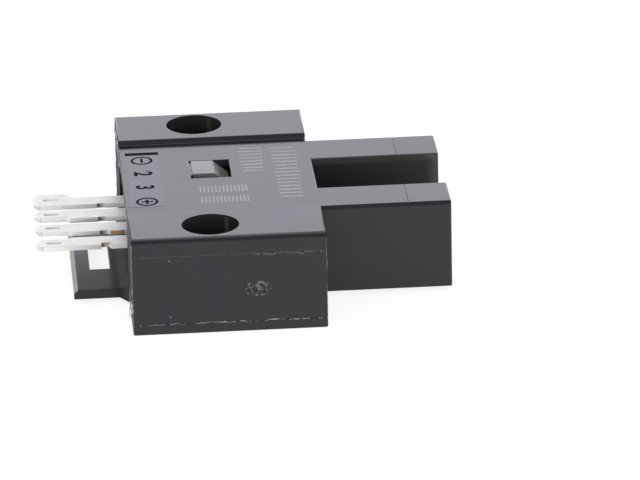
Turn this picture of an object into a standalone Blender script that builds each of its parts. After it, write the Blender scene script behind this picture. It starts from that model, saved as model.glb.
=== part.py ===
"""Slotted optical switch: a fork-shaped light barrier in a black moulded housing with two screw flanges.

Every size below is in millimetres. Lengths along X start at the terminal end of the body, Y is 0 on the plane
that halves the slot, and Z is 0 on the undersides of the screw flanges. The terminals point to -X.
"""
import math

import bmesh
import bpy
from mathutils import Matrix

MM = 0.001

# Clearance between pieces that touch or plug together on the real object
FIT = 0.05

# Body and screw flanges
BODY_LENGTH = 11.5
BODY_HEIGHT = 6.0
HOLE_SPACING = 17.2
HOLE_DIAMETER = 3.4
HOLE_FROM_END = 4.8
HOLE_OUTER_WALL = 0.5
HOLE_INNER_WALL = 0.7
TOP_STEP = 0.3
FOOT_STEP = 0.25
EDGE_RADIUS = 0.1

# Fork
SLOT_WIDTH = 5.0
ARM_THICKNESS = 3.3
ARM_REACH = 7.85
SLOT_END_SETBACK = 0.1
OPTICAL_AXIS_FROM_TIP = 2.5

# Walls of the hollow housing
SIDE_WALL = 0.7
ROOF = 0.45
TIP_WALL = 0.4
WINDOW_THICKNESS = 0.6

# Cover let into the underside
COVER_THICKNESS = 0.8
COVER_LEDGE = 0.35

# Latch lug under the terminals
LUG_REACH = 3.27
LUG_WIDTH = 10.3
LUG_THICKNESS = 0.6
LUG_CHAMFER = 0.25
LUG_FILLET = 0.8
LUG_GUSSET_LENGTH = 0.55
LUG_GUSSET_WIDTH = 0.9
LUG_WINDOW_FROM_BODY = 0.95
LUG_WINDOW_LENGTH = 1.25
LUG_WINDOW_FROM_FRONT = 3.25
LUG_WINDOW_WIDTH = 5.3

# Terminals: the plane of their mid thickness is also that of the component leads
LEAD_PLANE = 3.15
TERMINAL_PITCH = 2.3
TERMINAL_REACH = 5.35
TERMINAL_WIDTH = 1.4
TERMINAL_THICKNESS = 0.3
TERMINAL_PAD = 1.2
TIP_LENGTH = 1.95
TIP_CORNER = 0.3
WIDE_TIP_EXTRA = 0.5
NARROW_TIP_CUT = 0.2
EYELET_FROM_END = 0.58
EYELET_LENGTH = 0.95
EYELET_WIDTH = 0.34
NICK_FROM_BODY = 0.9
NICK_LENGTH = 0.6
NICK_DEPTH = 0.33

# Circuit board and what holds it
BOARD_THICKNESS = 0.8
BOARD_SIDE_GAP = 0.2
RIB_LENGTH = 0.8
RIB_DEPTH = 0.5
RIB_FROM_TERMINALS = 0.3
RIB_FROM_LEADS = 0.4

# Indicator window and light guide
INDICATOR_FROM_END = 4.15
INDICATOR_LENGTH = 2.45
INDICATOR_WIDTH = 3.05
INDICATOR_SIDE_OFFSET = 1.5
GUIDE_SIDE_GAP = 0.12
GUIDE_FRONT_GAP = 0.8
GUIDE_FLAT_LENGTH = 1.33
GUIDE_SLOPE_ANGLE = 40.0
GUIDE_COLLAR_OVERHANG = 0.35
GUIDE_COLLAR_HEIGHT = 0.4
LED_LENGTH = 1.6
LED_WIDTH = 0.8
LED_HEIGHT = 0.6

# Emitter and receiver
DEVICE_LENGTH = 3.0
DEVICE_HEIGHT = 3.0
DEVICE_LENS_HEIGHT = 0.3
DEVICE_LENS_RADIUS = 0.9
LEAD_WIDTH = 0.3
LEAD_THICKNESS = 0.25
LEAD_EDGE_MARGIN = 0.12
LEAD_PAD = 1.0

# Components beside the terminals' pads on the board
ROW_FROM_TERMINALS = 0.5
ROW_OFFSET = 1.7
ROW_GAP = 0.6
RESISTOR_LENGTH = 1.6
RESISTOR_WIDTH = 0.8
RESISTOR_HEIGHT = 0.45
CAPACITOR_LENGTH = 2.0
CAPACITOR_WIDTH = 1.25
CAPACITOR_HEIGHT = 1.0
TRANSISTOR_LENGTH = 2.9
TRANSISTOR_WIDTH = 1.3
TRANSISTOR_HEIGHT = 1.0
TRANSISTOR_FROM_WINDOW = 0.5

# Sizes that follow from the ones above
HALF_WIDTH = HOLE_SPACING / 2 + HOLE_DIAMETER / 2 + HOLE_OUTER_WALL
FLANGE_INNER = HOLE_SPACING / 2 - HOLE_DIAMETER / 2 - HOLE_INNER_WALL
TOP = BODY_HEIGHT - TOP_STEP
CEILING = TOP - ROOF
TIP = BODY_LENGTH + ARM_REACH
SLOT_END = BODY_LENGTH + SLOT_END_SETBACK
SLOT_SIDE = SLOT_WIDTH / 2
ARM_SIDE = SLOT_SIDE + ARM_THICKNESS
WINDOW_BACK = SLOT_SIDE + WINDOW_THICKNESS
CHAMBER_SIDE = ARM_SIDE - SIDE_WALL
CHAMBER_END = SLOT_END - SIDE_WALL
CHAMBER_TIP = TIP - TIP_WALL
COVER_TOP = FOOT_STEP + COVER_THICKNESS
BOARD_TOP = LEAD_PLANE - TERMINAL_THICKNESS / 2 - FIT
BOARD_BOTTOM = BOARD_TOP - BOARD_THICKNESS
BOARD_START = SIDE_WALL + BOARD_SIDE_GAP
BOARD_END = CHAMBER_END - BOARD_SIDE_GAP
BOARD_SIDE = CHAMBER_SIDE - BOARD_SIDE_GAP
COMPONENT_BASE = BOARD_TOP + FIT
PAD_END = BOARD_START + TERMINAL_PAD
AXIS_X = TIP - OPTICAL_AXIS_FROM_TIP
DEVICE_BACK = CHAMBER_SIDE - FIT
DEVICE_FRONT = WINDOW_BACK + FIT + DEVICE_LENS_HEIGHT
DEVICE_START = AXIS_X - DEVICE_LENGTH / 2
DEVICE_FLOOR = LEAD_PLANE - DEVICE_HEIGHT / 2
LEAD_START = BOARD_END - LEAD_PAD
GUIDE_START = INDICATOR_FROM_END + GUIDE_SIDE_GAP
GUIDE_END = INDICATOR_FROM_END + INDICATOR_LENGTH - FIT
INDICATOR_FRONT = INDICATOR_SIDE_OFFSET - INDICATOR_WIDTH / 2
INDICATOR_REAR = INDICATOR_SIDE_OFFSET + INDICATOR_WIDTH / 2
GUIDE_FRONT = INDICATOR_FRONT + GUIDE_FRONT_GAP
GUIDE_REAR = INDICATOR_REAR - FIT
GUIDE_BOTTOM = COMPONENT_BASE + LED_HEIGHT + FIT
ROW_START = PAD_END + ROW_FROM_TERMINALS
REAR, FRONT = 1, -1
THROUGH = 2.0
ROUND_STEPS = 48
STAND_UP = Matrix(((1, 0, 0, 0), (0, 0, -1, 0), (0, 1, 0, 0), (0, 0, 0, 1)))


# Scene, collections and materials


def clear_scene():
    """Remove whatever the file holds before modelling."""
    for item in list(bpy.data.objects):
        bpy.data.objects.remove(item, do_unlink=True)


def new_collection(name):
    """A collection linked to the scene."""
    collection = bpy.data.collections.new(name)
    bpy.context.scene.collection.children.link(collection)
    return collection


def finish(name, color, roughness, metallic=0.0):
    """A Principled BSDF material with one colour."""
    material = bpy.data.materials.new(name)
    material.use_nodes = True
    shader = material.node_tree.nodes["Principled BSDF"]
    shader.inputs["Base Color"].default_value = (*color, 1.0)
    shader.inputs["Roughness"].default_value = roughness
    shader.inputs["Metallic"].default_value = metallic
    return material


# Basic shapes


def place(mesh, name):
    """A new object for a mesh, under the part's frame and in the part's collection."""
    item = bpy.data.objects.new(name, mesh)
    PART.objects.link(item)
    item.parent = FRAME
    return item


def box(name, x, y, z):
    """A box between two values on each axis, with its corners in the part's own coordinates."""
    mesh = bpy.data.meshes.new(name)
    shape = bmesh.new()
    bmesh.ops.create_cube(shape, size=2.0)
    for vertex in shape.verts:
        vertex.co = [MM * (high if side > 0 else low) for side, (low, high) in zip(vertex.co, (x, y, z))]
    shape.to_mesh(mesh)
    shape.free()
    return place(mesh, name)


def centre_origin(item):
    """Move an object's origin to the middle of its box and leave the object where it is."""
    corners = [tuple(corner) for corner in item.bound_box]
    middle = [(min(values) + max(values)) / 2 for values in zip(*corners)]
    item.data.transform(Matrix.Translation([-value for value in middle]))
    item.location = middle
    return item


def upright_cylinder(name, x, y, z, radius):
    """A cylinder with a vertical axis between two heights."""
    mesh = bpy.data.meshes.new(name)
    shape = bmesh.new()
    bmesh.ops.create_cone(
        shape,
        cap_ends=True,
        segments=ROUND_STEPS,
        radius1=radius * MM,
        radius2=radius * MM,
        depth=(z[1] - z[0]) * MM,
    )
    shape.to_mesh(mesh)
    shape.free()
    item = place(mesh, name)
    item.location = (x * MM, y * MM, MM * (z[0] + z[1]) / 2)
    return item


def extruded(name, loops, thickness, upright=False):
    """A flat outline, with any holes in it, extruded to both sides of its plane: XY, or XZ when upright."""
    curve = bpy.data.curves.new(name, "CURVE")
    curve.dimensions = "2D"
    curve.fill_mode = "BOTH"
    curve.extrude = thickness / 2
    for loop in loops:
        spline = curve.splines.new("POLY")
        spline.points.add(len(loop) - 1)
        for point, (u, v) in zip(spline.points, loop):
            point.co = (u, v, 0.0, 1.0)
        spline.use_cyclic_u = True
    holder = bpy.data.objects.new(name, curve)
    bpy.context.scene.collection.objects.link(holder)
    graph = bpy.context.evaluated_depsgraph_get()
    mesh = bpy.data.meshes.new_from_object(holder.evaluated_get(graph))
    bpy.data.objects.remove(holder, do_unlink=True)
    shape = bmesh.new()
    shape.from_mesh(mesh)
    bmesh.ops.remove_doubles(shape, verts=shape.verts, dist=0.001)
    bmesh.ops.recalc_face_normals(shape, faces=shape.faces)
    if upright:
        bmesh.ops.transform(shape, matrix=STAND_UP, verts=shape.verts)
    bmesh.ops.transform(shape, matrix=Matrix.Scale(MM, 4), verts=shape.verts)
    shape.to_mesh(mesh)
    shape.free()
    return place(mesh, name)


def arc(centre, radius, start, end, steps):
    """Points along an arc, angles in degrees."""
    points = []
    for step in range(steps + 1):
        angle = math.radians(start + (end - start) * step / steps)
        points.append((centre[0] + radius * math.cos(angle), centre[1] + radius * math.sin(angle)))
    return points


# Joining and cutting


def helper(item):
    """Turn an object into a helper that shapes another one and isn't part of the model."""
    PART.objects.unlink(item)
    CUTTERS.objects.link(item)
    item.hide_render = True
    item.display_type = "WIRE"
    return item


def combine(target, other, operation):
    """Give the target a Boolean modifier with a helper object."""
    modifier = target.modifiers.new(other.name, "BOOLEAN")
    modifier.operation = operation
    modifier.solver = "EXACT"
    modifier.object = helper(other)


def join(target, other):
    combine(target, other, "UNION")


def cut(target, other):
    combine(target, other, "DIFFERENCE")


def common(target, other):
    combine(target, other, "INTERSECT")


def round_edges(item, radius, segments=2):
    """Round every sharp edge of an object."""
    modifier = item.modifiers.new("round_edges", "BEVEL")
    modifier.width = radius * MM
    modifier.segments = segments
    modifier.limit_method = "ANGLE"
    modifier.angle_limit = math.radians(40.0)
    modifier.use_clamp_overlap = True


def smooth_round_faces(item):
    """Shade round faces smooth and keep the sharp edges."""
    item.data.shade_smooth()
    item.data.set_sharp_from_angle(angle=math.radians(30.0))


# Housing


def latch_lug():
    """Flat tongue with a chamfered edge, a window, corner gussets and a fillet up to the body."""
    low = FOOT_STEP
    high = FOOT_STEP + LUG_THICKNESS
    root = (SIDE_WALL - COVER_LEDGE) / 2
    fillet = arc((-LUG_FILLET, high + LUG_FILLET), LUG_FILLET, -90.0, 0.0, 8)
    profile = [(-LUG_REACH, low), (root, low), (root, high + LUG_FILLET)]
    profile += reversed(fillet)
    profile += [(-LUG_REACH + LUG_CHAMFER, high), (-LUG_REACH, high - LUG_CHAMFER)]
    half = LUG_WIDTH / 2
    wide = half + LUG_GUSSET_WIDTH
    lug = extruded("latch_lug", [profile], 2 * (wide + THROUGH), upright=True)
    plan = [
        (-LUG_REACH - THROUGH, -half),
        (-LUG_GUSSET_LENGTH, -half),
        (0.0, -wide),
        (root + THROUGH, -wide),
        (root + THROUGH, wide),
        (0.0, wide),
        (-LUG_GUSSET_LENGTH, half),
        (-LUG_REACH - THROUGH, half),
    ]
    common(lug, extruded("latch_lug_plan", [plan], 4 * BODY_HEIGHT))
    window_end = -LUG_WINDOW_FROM_BODY
    window_front = -half + LUG_WINDOW_FROM_FRONT
    cut(lug, box(
        "latch_window",
        (window_end - LUG_WINDOW_LENGTH, window_end),
        (window_front, window_front + LUG_WINDOW_WIDTH),
        (low - THROUGH, high + THROUGH),
    ))
    return lug


def chamber_parts(grow, low, high, name):
    """Helpers that hollow the body and both arms, grown sideways by the ledge that seats the cover."""
    start = SIDE_WALL - grow
    side = CHAMBER_SIDE + grow
    parts = [box(name + "_body", (start, CHAMBER_END + grow), (-side, side), (low, high))]
    for label, way in (("_rear_arm", REAR), ("_front_arm", FRONT)):
        span = sorted((way * WINDOW_BACK, way * side))
        parts.append(box(name + label, (CHAMBER_END / 2, CHAMBER_TIP), span, (low, high)))
    return parts


def housing():
    """Black moulding: hollow body and arms, flanges, lug, windows and ribs in one piece."""
    body = box("housing", (0.0, TIP), (-ARM_SIDE, ARM_SIDE), (FOOT_STEP, TOP))
    overlap = HOLE_INNER_WALL / 2
    join(body, box(
        "body_middle",
        (0.0, BODY_LENGTH),
        (-FLANGE_INNER - overlap, FLANGE_INNER + overlap),
        (FOOT_STEP, TOP),
    ))
    for name, way in (("rear_flange", REAR), ("front_flange", FRONT)):
        span = sorted((way * FLANGE_INNER, way * HALF_WIDTH))
        join(body, box(name, (0.0, BODY_LENGTH), span, (0.0, BODY_HEIGHT)))
    cut(body, box(
        "slot",
        (SLOT_END, TIP + THROUGH),
        (-SLOT_SIDE, SLOT_SIDE),
        (FOOT_STEP - THROUGH, TOP + THROUGH),
    ))
    round_edges(body, EDGE_RADIUS)
    join(body, latch_lug())
    for part in chamber_parts(0.0, FOOT_STEP - THROUGH, CEILING, "hollow"):
        cut(body, part)
    for part in chamber_parts(COVER_LEDGE, FOOT_STEP - THROUGH, COVER_TOP, "cover_seat"):
        cut(body, part)
    for name, way in (("rear", REAR), ("front", FRONT)):
        span = sorted((way * (SLOT_SIDE - THROUGH), way * WINDOW_BACK))
        cut(body, box(name + "_opening", (SLOT_END, CHAMBER_TIP), span, (FOOT_STEP - THROUGH, CEILING)))
        cut(body, upright_cylinder(
            name + "_hole",
            HOLE_FROM_END,
            way * HOLE_SPACING / 2,
            (-THROUGH, BODY_HEIGHT + THROUGH),
            HOLE_DIAMETER / 2,
        ))
    cut(body, box(
        "indicator_opening",
        (INDICATOR_FROM_END, INDICATOR_FROM_END + INDICATOR_LENGTH),
        (INDICATOR_FRONT, INDICATOR_REAR),
        (CEILING - ROOF, TOP + THROUGH),
    ))
    for number in range(4):
        middle = terminal_side(number)
        reach = TERMINAL_WIDTH / 2 + FIT
        depth = TERMINAL_THICKNESS / 2 + FIT
        cut(body, box(
            f"terminal_passage_{number + 1}",
            (-THROUGH, SIDE_WALL + THROUGH),
            (middle - reach, middle + reach),
            (LEAD_PLANE - depth, LEAD_PLANE + depth),
        ))
    for name, span, sides in rib_places():
        join(body, box(name, span, sides, (BOARD_TOP + FIT, CEILING + ROOF / 2)))
    return body


def rib_places():
    """Where the ribs above and the pads below hold the board: name, extent along X, extent across."""
    first = PAD_END + RIB_FROM_TERMINALS
    last = LEAD_START - RIB_FROM_LEADS - RIB_LENGTH
    places = []
    for end, start in (("terminal_end", first), ("fork_end", last)):
        for side, way in (("rear", REAR), ("front", FRONT)):
            sides = sorted((way * (CHAMBER_SIDE - RIB_DEPTH), way * (CHAMBER_SIDE + SIDE_WALL / 2)))
            places.append((f"rib_{end}_{side}", (start, start + RIB_LENGTH), sides))
    return places


def base_cover():
    """Fork-shaped plate let into the underside, with pads that hold the board and the optical devices."""
    side = CHAMBER_SIDE + COVER_LEDGE - FIT
    height = (FOOT_STEP, COVER_TOP - FIT)
    cover = box(
        "base_cover",
        (SIDE_WALL - COVER_LEDGE + FIT, CHAMBER_END + COVER_LEDGE - FIT),
        (-side, side),
        height,
    )
    for name, way in (("rear", REAR), ("front", FRONT)):
        across = sorted((way * (WINDOW_BACK + FIT), way * side))
        join(cover, box(f"cover_{name}_arm", (CHAMBER_END / 2, CHAMBER_TIP - FIT), across, height))
        seat = sorted((way * (DEVICE_FRONT + FIT), way * DEVICE_BACK))
        join(cover, box(
            f"cover_{name}_seat",
            (DEVICE_START, DEVICE_START + DEVICE_LENGTH),
            seat,
            (COVER_TOP - COVER_THICKNESS / 2, DEVICE_FLOOR - FIT),
        ))
    for name, span, sides in rib_places():
        inner = min(sides, key=abs)
        outer = math.copysign(BOARD_SIDE, inner)
        join(cover, box(
            "cover_" + name,
            span,
            sorted((inner, outer)),
            (COVER_TOP - COVER_THICKNESS / 2, BOARD_BOTTOM - FIT),
        ))
    return cover


# Windows and light guide


def slot_window(name, way):
    """Dark plate that closes the slot side of one arm."""
    return box(
        name,
        (SLOT_END + FIT, CHAMBER_TIP - FIT),
        sorted((way * SLOT_SIDE, way * WINDOW_BACK)),
        (FOOT_STEP, CEILING - FIT),
    )


def indicator_lens():
    """Light guide: flat top flush with the housing, one sloping side, and a collar under the roof."""
    top = TOP
    slope_start = GUIDE_START + GUIDE_FLAT_LENGTH
    drop = (GUIDE_END - slope_start) * math.tan(math.radians(GUIDE_SLOPE_ANGLE))
    profile = [
        (GUIDE_START, GUIDE_BOTTOM),
        (GUIDE_END, GUIDE_BOTTOM),
        (GUIDE_END, top - drop),
        (slope_start, top),
        (GUIDE_START, top),
    ]
    width = GUIDE_REAR - GUIDE_FRONT
    lens = extruded("indicator_lens", [profile], width, upright=True)
    lens.data.transform(Matrix.Translation((0.0, MM * (GUIDE_FRONT + GUIDE_REAR) / 2, 0.0)))
    collar_top = CEILING - FIT
    collar = box(
        "lens_collar",
        (INDICATOR_FROM_END - GUIDE_COLLAR_OVERHANG, slope_start),
        (GUIDE_FRONT, INDICATOR_REAR + GUIDE_COLLAR_OVERHANG),
        (collar_top - GUIDE_COLLAR_HEIGHT, collar_top),
    )
    join(lens, collar)
    return lens


# Terminals


def terminal_side(number):
    """Y of a terminal's middle, counted from the rear."""
    return (1.5 - number) * TERMINAL_PITCH


def eyelet_outline(middle):
    """Oblong hole near a terminal's tip."""
    radius = EYELET_WIDTH / 2
    start = -TERMINAL_REACH + EYELET_FROM_END + radius
    end = start + EYELET_LENGTH - EYELET_WIDTH
    return arc((end, middle), radius, -90.0, 90.0, 8) + arc((start, middle), radius, 90.0, 270.0, 8)


def terminal(number, rear_extra, front_extra):
    """Stamped blade: shank with a nick, tip with cut corners and an eyelet."""
    half = TERMINAL_WIDTH / 2
    rear = half + rear_extra
    front = -half - front_extra
    tip = -TERMINAL_REACH
    shoulder = tip + TIP_LENGTH
    nick_end = -NICK_FROM_BODY
    nick_start = nick_end - NICK_LENGTH
    outline = [
        (PAD_END, -half),
        (PAD_END, half),
        (shoulder + abs(rear_extra), half),
        (shoulder, rear),
        (tip + TIP_CORNER, rear),
        (tip, rear - TIP_CORNER),
        (tip, front + TIP_CORNER),
        (tip + TIP_CORNER, front),
        (shoulder, front),
        (shoulder + abs(front_extra), -half),
        (nick_start, -half),
        (nick_start, -half + NICK_DEPTH),
        (nick_end - NICK_DEPTH / 2, -half + NICK_DEPTH),
        (nick_end, -half),
    ]
    cleaned = []
    for point in outline:
        if not cleaned or math.dist(point, cleaned[-1]) > 0.001:
            cleaned.append(point)
    blade = extruded(f"terminal_{number + 1}", [cleaned, eyelet_outline((rear + front) / 2)], TERMINAL_THICKNESS)
    blade.location = (0.0, terminal_side(number) * MM, LEAD_PLANE * MM)
    return blade


# Optical devices


def optical_device(name, way):
    """Moulded block that fills the arm behind its window, with a low round lens toward the slot."""
    across = sorted((way * DEVICE_FRONT, way * DEVICE_BACK))
    block = box(
        name,
        (DEVICE_START, DEVICE_START + DEVICE_LENGTH),
        across,
        (DEVICE_FLOOR, DEVICE_FLOOR + DEVICE_HEIGHT),
    )
    reach = DEVICE_LENS_HEIGHT
    radius = (DEVICE_LENS_RADIUS ** 2 + reach ** 2) / (2 * reach)
    ball_middle = DEVICE_FRONT - reach + radius
    mesh = bpy.data.meshes.new(name + "_lens")
    shape = bmesh.new()
    bmesh.ops.create_uvsphere(shape, u_segments=ROUND_STEPS, v_segments=ROUND_STEPS // 2, radius=radius * MM)
    shape.to_mesh(mesh)
    shape.free()
    ball = place(mesh, name + "_lens")
    ball.location = (AXIS_X * MM, way * ball_middle * MM, LEAD_PLANE * MM)
    across_cap = sorted((way * (DEVICE_FRONT - THROUGH), way * (DEVICE_FRONT + (DEVICE_BACK - DEVICE_FRONT) / 2)))
    common(ball, box(
        name + "_lens_limit",
        (DEVICE_START, DEVICE_START + DEVICE_LENGTH),
        across_cap,
        (DEVICE_FLOOR, DEVICE_FLOOR + DEVICE_HEIGHT),
    ))
    join(block, ball)
    return block


def device_leads(name, way, count):
    """Flat leads from an optical device back to the board."""
    first = DEVICE_FRONT + LEAD_EDGE_MARGIN + LEAD_WIDTH / 2
    last = DEVICE_BACK - LEAD_EDGE_MARGIN - LEAD_WIDTH / 2
    leads = []
    for index in range(count):
        middle = way * (first + (last - first) * index / (count - 1))
        leads.append(box(
            f"{name}_lead_{index + 1}",
            (LEAD_START, DEVICE_START - FIT),
            (middle - LEAD_WIDTH / 2, middle + LEAD_WIDTH / 2),
            (COMPONENT_BASE, COMPONENT_BASE + LEAD_THICKNESS),
        ))
    return leads


# Board and small components


def circuit_board():
    """Board that fills the body chamber at the height of the terminals."""
    return box(
        "circuit_board",
        (BOARD_START, BOARD_END),
        (-BOARD_SIDE, BOARD_SIDE),
        (BOARD_BOTTOM, BOARD_TOP),
    )


def component(name, x, y, length, width, height):
    """Small block on the board, long side across the board, centred at x and y."""
    return box(
        name,
        (x - width / 2, x + width / 2),
        (y - length / 2, y + length / 2),
        (COMPONENT_BASE, COMPONENT_BASE + height),
    )


def indicator_led():
    """Lamp under the flat of the light guide."""
    x = GUIDE_START + GUIDE_FLAT_LENGTH / 2
    y = (GUIDE_FRONT + GUIDE_REAR) / 2
    return component("indicator_led", x, y, LED_LENGTH, LED_WIDTH, LED_HEIGHT)


def component_row():
    """Three resistors and a capacitor side by side in front of the light guide."""
    items = []
    start = ROW_START
    for number in range(3):
        x = start + RESISTOR_WIDTH / 2
        items.append(component(
            f"resistor_{number + 1}", x, -ROW_OFFSET, RESISTOR_LENGTH, RESISTOR_WIDTH, RESISTOR_HEIGHT))
        start += RESISTOR_WIDTH + ROW_GAP
    x = start + CAPACITOR_WIDTH / 2
    items.append(component(
        "capacitor", x, -ROW_OFFSET, CAPACITOR_LENGTH, CAPACITOR_WIDTH, CAPACITOR_HEIGHT))
    return items


def output_transistor():
    """Moulded package beside the light guide."""
    x = INDICATOR_FROM_END + INDICATOR_LENGTH + TRANSISTOR_FROM_WINDOW + TRANSISTOR_WIDTH / 2
    return component(
        "output_transistor", x, INDICATOR_SIDE_OFFSET, TRANSISTOR_LENGTH, TRANSISTOR_WIDTH, TRANSISTOR_HEIGHT)


# Assembly

clear_scene()
PART = new_collection("slotted_optical_switch")
CUTTERS = new_collection("cutters")
FRAME = bpy.data.objects.new("part_frame", None)
PART.objects.link(FRAME)
FRAME.location = (-MM * (TIP - TERMINAL_REACH) / 2, 0.0, 0.0)

BLACK_PLASTIC = finish("housing_black", (0.022, 0.022, 0.024), 0.35)
COVER_PLASTIC = finish("cover_black", (0.018, 0.018, 0.020), 0.45)
WINDOW_PLASTIC = finish("window_infrared", (0.010, 0.008, 0.014), 0.15)
GUIDE_PLASTIC = finish("light_guide", (0.62, 0.62, 0.63), 0.30)
TIN_PLATE = finish("terminal_tin", (0.78, 0.78, 0.76), 0.28, 1.0)
BOARD_RESIN = finish("board_green", (0.030, 0.140, 0.060), 0.40)
EMITTER_RESIN = finish("emitter_blue", (0.070, 0.100, 0.200), 0.15)
RECEIVER_RESIN = finish("receiver_black", (0.012, 0.010, 0.016), 0.15)
LEAD_METAL = finish("lead_metal", (0.72, 0.72, 0.70), 0.30, 1.0)
LED_RESIN = finish("led_orange", (0.550, 0.090, 0.030), 0.20)
CHIP_BLACK = finish("chip_black", (0.020, 0.020, 0.022), 0.50)
CAPACITOR_BROWN = finish("capacitor_brown", (0.320, 0.210, 0.110), 0.45)

NODES = [
    (housing(), BLACK_PLASTIC),
    (base_cover(), COVER_PLASTIC),
    (slot_window("emitter_window", REAR), WINDOW_PLASTIC),
    (slot_window("receiver_window", FRONT), WINDOW_PLASTIC),
    (indicator_lens(), GUIDE_PLASTIC),
    (terminal(0, WIDE_TIP_EXTRA, 0.0), TIN_PLATE),
    (terminal(1, 0.0, -NARROW_TIP_CUT), TIN_PLATE),
    (terminal(2, 0.0, -NARROW_TIP_CUT), TIN_PLATE),
    (terminal(3, -NARROW_TIP_CUT, 0.0), TIN_PLATE),
    (circuit_board(), BOARD_RESIN),
    (optical_device("infrared_emitter", REAR), EMITTER_RESIN),
    (optical_device("light_receiver", FRONT), RECEIVER_RESIN),
    (indicator_led(), LED_RESIN),
    (output_transistor(), CHIP_BLACK),
]
NODES += [(lead, LEAD_METAL) for lead in device_leads("emitter", REAR, 2)]
NODES += [(lead, LEAD_METAL) for lead in device_leads("receiver", FRONT, 3)]
NODES += [
    (part, CAPACITOR_BROWN if part.name == "capacitor" else CHIP_BLACK)
    for part in component_row()
]

for item, material in NODES:
    item.data.materials.append(material)
    smooth_round_faces(item)
    if not item.modifiers and item.location.length == 0.0:
        centre_origin(item)
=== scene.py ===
# %% [markdown]
# # A slotted optical switch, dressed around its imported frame
# The real part is a thumbnail-sized light barrier: a black moulded fork with two screw flanges, four tin-
# plated blades and a small milky window for its lamp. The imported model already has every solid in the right
# place, so this lesson adds what a camera sees: moulding marks, flash, engraved signs, coined metal edges
# and the finishes.

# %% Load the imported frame
import math

import bmesh
import bpy
from mathutils import Matrix, Vector, noise


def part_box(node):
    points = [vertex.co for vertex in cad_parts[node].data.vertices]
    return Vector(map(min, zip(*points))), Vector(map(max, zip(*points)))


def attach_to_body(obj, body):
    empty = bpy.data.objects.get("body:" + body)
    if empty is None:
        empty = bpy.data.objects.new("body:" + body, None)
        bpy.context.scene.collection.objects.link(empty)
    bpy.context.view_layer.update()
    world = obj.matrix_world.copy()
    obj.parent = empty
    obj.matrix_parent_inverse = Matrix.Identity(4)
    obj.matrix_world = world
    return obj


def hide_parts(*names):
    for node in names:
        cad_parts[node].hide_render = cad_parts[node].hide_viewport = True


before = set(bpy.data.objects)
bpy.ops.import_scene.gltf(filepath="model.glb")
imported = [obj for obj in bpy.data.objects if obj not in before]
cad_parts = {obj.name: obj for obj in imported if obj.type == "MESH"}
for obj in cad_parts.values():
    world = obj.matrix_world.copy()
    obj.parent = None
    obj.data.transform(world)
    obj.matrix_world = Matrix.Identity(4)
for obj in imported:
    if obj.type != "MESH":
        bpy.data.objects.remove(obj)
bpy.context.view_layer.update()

print("frame has", len(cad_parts), "nodes")

# %% [markdown]
# ## Millimetres
# Everything in the file is in metres, but a part this small is easier to think of in millimetres. Lengths
# along X are counted from the end face that the terminals leave, Y is 0 in the middle of the slot, and Z is
# 0 on the table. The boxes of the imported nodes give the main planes, so the dressing follows the frame when
# the frame changes.

# %% Units and main planes
MM = 0.001
END_FACE_X = -7.0


def at(x, y, z):
    """A point in metres from millimetres on the part."""
    return Vector(((x + END_FACE_X) * MM, y * MM, z * MM))


def put_in_scene(name, data):
    """A new object with its data, in the scene."""
    item = bpy.data.objects.new(name, data)
    bpy.context.scene.collection.objects.link(item)
    return item


def node_box(node):
    """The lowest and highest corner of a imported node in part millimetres."""
    shift = Vector((END_FACE_X, 0.0, 0.0))
    return [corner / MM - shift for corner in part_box(node)]


FORK_TIP, HALF_WIDTH, FLANGE_TOP = node_box("housing")[1]
SLOT_SIDE = node_box("emitter_window")[0].y
BODY_TOP = node_box("indicator_lens")[1].z
ARM_THICKNESS = 3.3
ARM_SIDE = SLOT_SIDE + ARM_THICKNESS
BODY_LENGTH = 11.5
print("half width", round(HALF_WIDTH, 2), "body top", round(BODY_TOP, 2), "fork tip", round(FORK_TIP, 2))

# %% [markdown]
# ## Camera
# The photograph was taken with a long lens from a little above and a little to the left. These angles were
# found by laying the model's edges over the photograph, so the camera is set from them and not by eye.

# %% Camera
CAMERA_AZIMUTH = math.radians(4.004)
CAMERA_ELEVATION = math.radians(21.227)
CAMERA_ROLL = math.radians(-1.146)
CAMERA_DISTANCE = 0.35022
CAMERA_TARGET = Vector((0.004857, 0.0, 0.001343))
CAMERA_LENS = 324.97

forward = Vector((
    math.sin(CAMERA_AZIMUTH) * math.cos(CAMERA_ELEVATION),
    math.cos(CAMERA_AZIMUTH) * math.cos(CAMERA_ELEVATION),
    -math.sin(CAMERA_ELEVATION),
))
level_right = Vector((math.cos(CAMERA_AZIMUTH), -math.sin(CAMERA_AZIMUTH), 0.0))
level_up = level_right.cross(forward)
camera_right = level_right * math.cos(CAMERA_ROLL) + level_up * math.sin(CAMERA_ROLL)
camera_up = level_up * math.cos(CAMERA_ROLL) - level_right * math.sin(CAMERA_ROLL)

camera_data = bpy.data.cameras.new("camera")
camera_data.lens = CAMERA_LENS
camera = put_in_scene("camera", camera_data)
camera.matrix_world = (
    Matrix.Translation(CAMERA_TARGET - forward * CAMERA_DISTANCE)
    @ Matrix((camera_right, camera_up, -forward)).transposed().to_4x4()
)
bpy.context.scene.camera = camera
bpy.context.scene.view_settings.view_transform = "Standard"
print("camera stands", [round(value, 4) for value in camera.location])

# %% [markdown]
# ## Node helpers
# Materials, the world and the geometry trees are all made of nodes. A few short helpers keep the code
# readable: one adds a node with its inputs, others make sums, noises, ramps and mixes, and one starts a
# reusable group. Colours are given as three numbers, and the alpha is added here.

# %% Node helpers
SOCKET_TYPES = {float: "Float", int: "Int", tuple: "Color"}


def grey(level):
    """A colour without a hue."""
    return (level, level, level)


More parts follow.
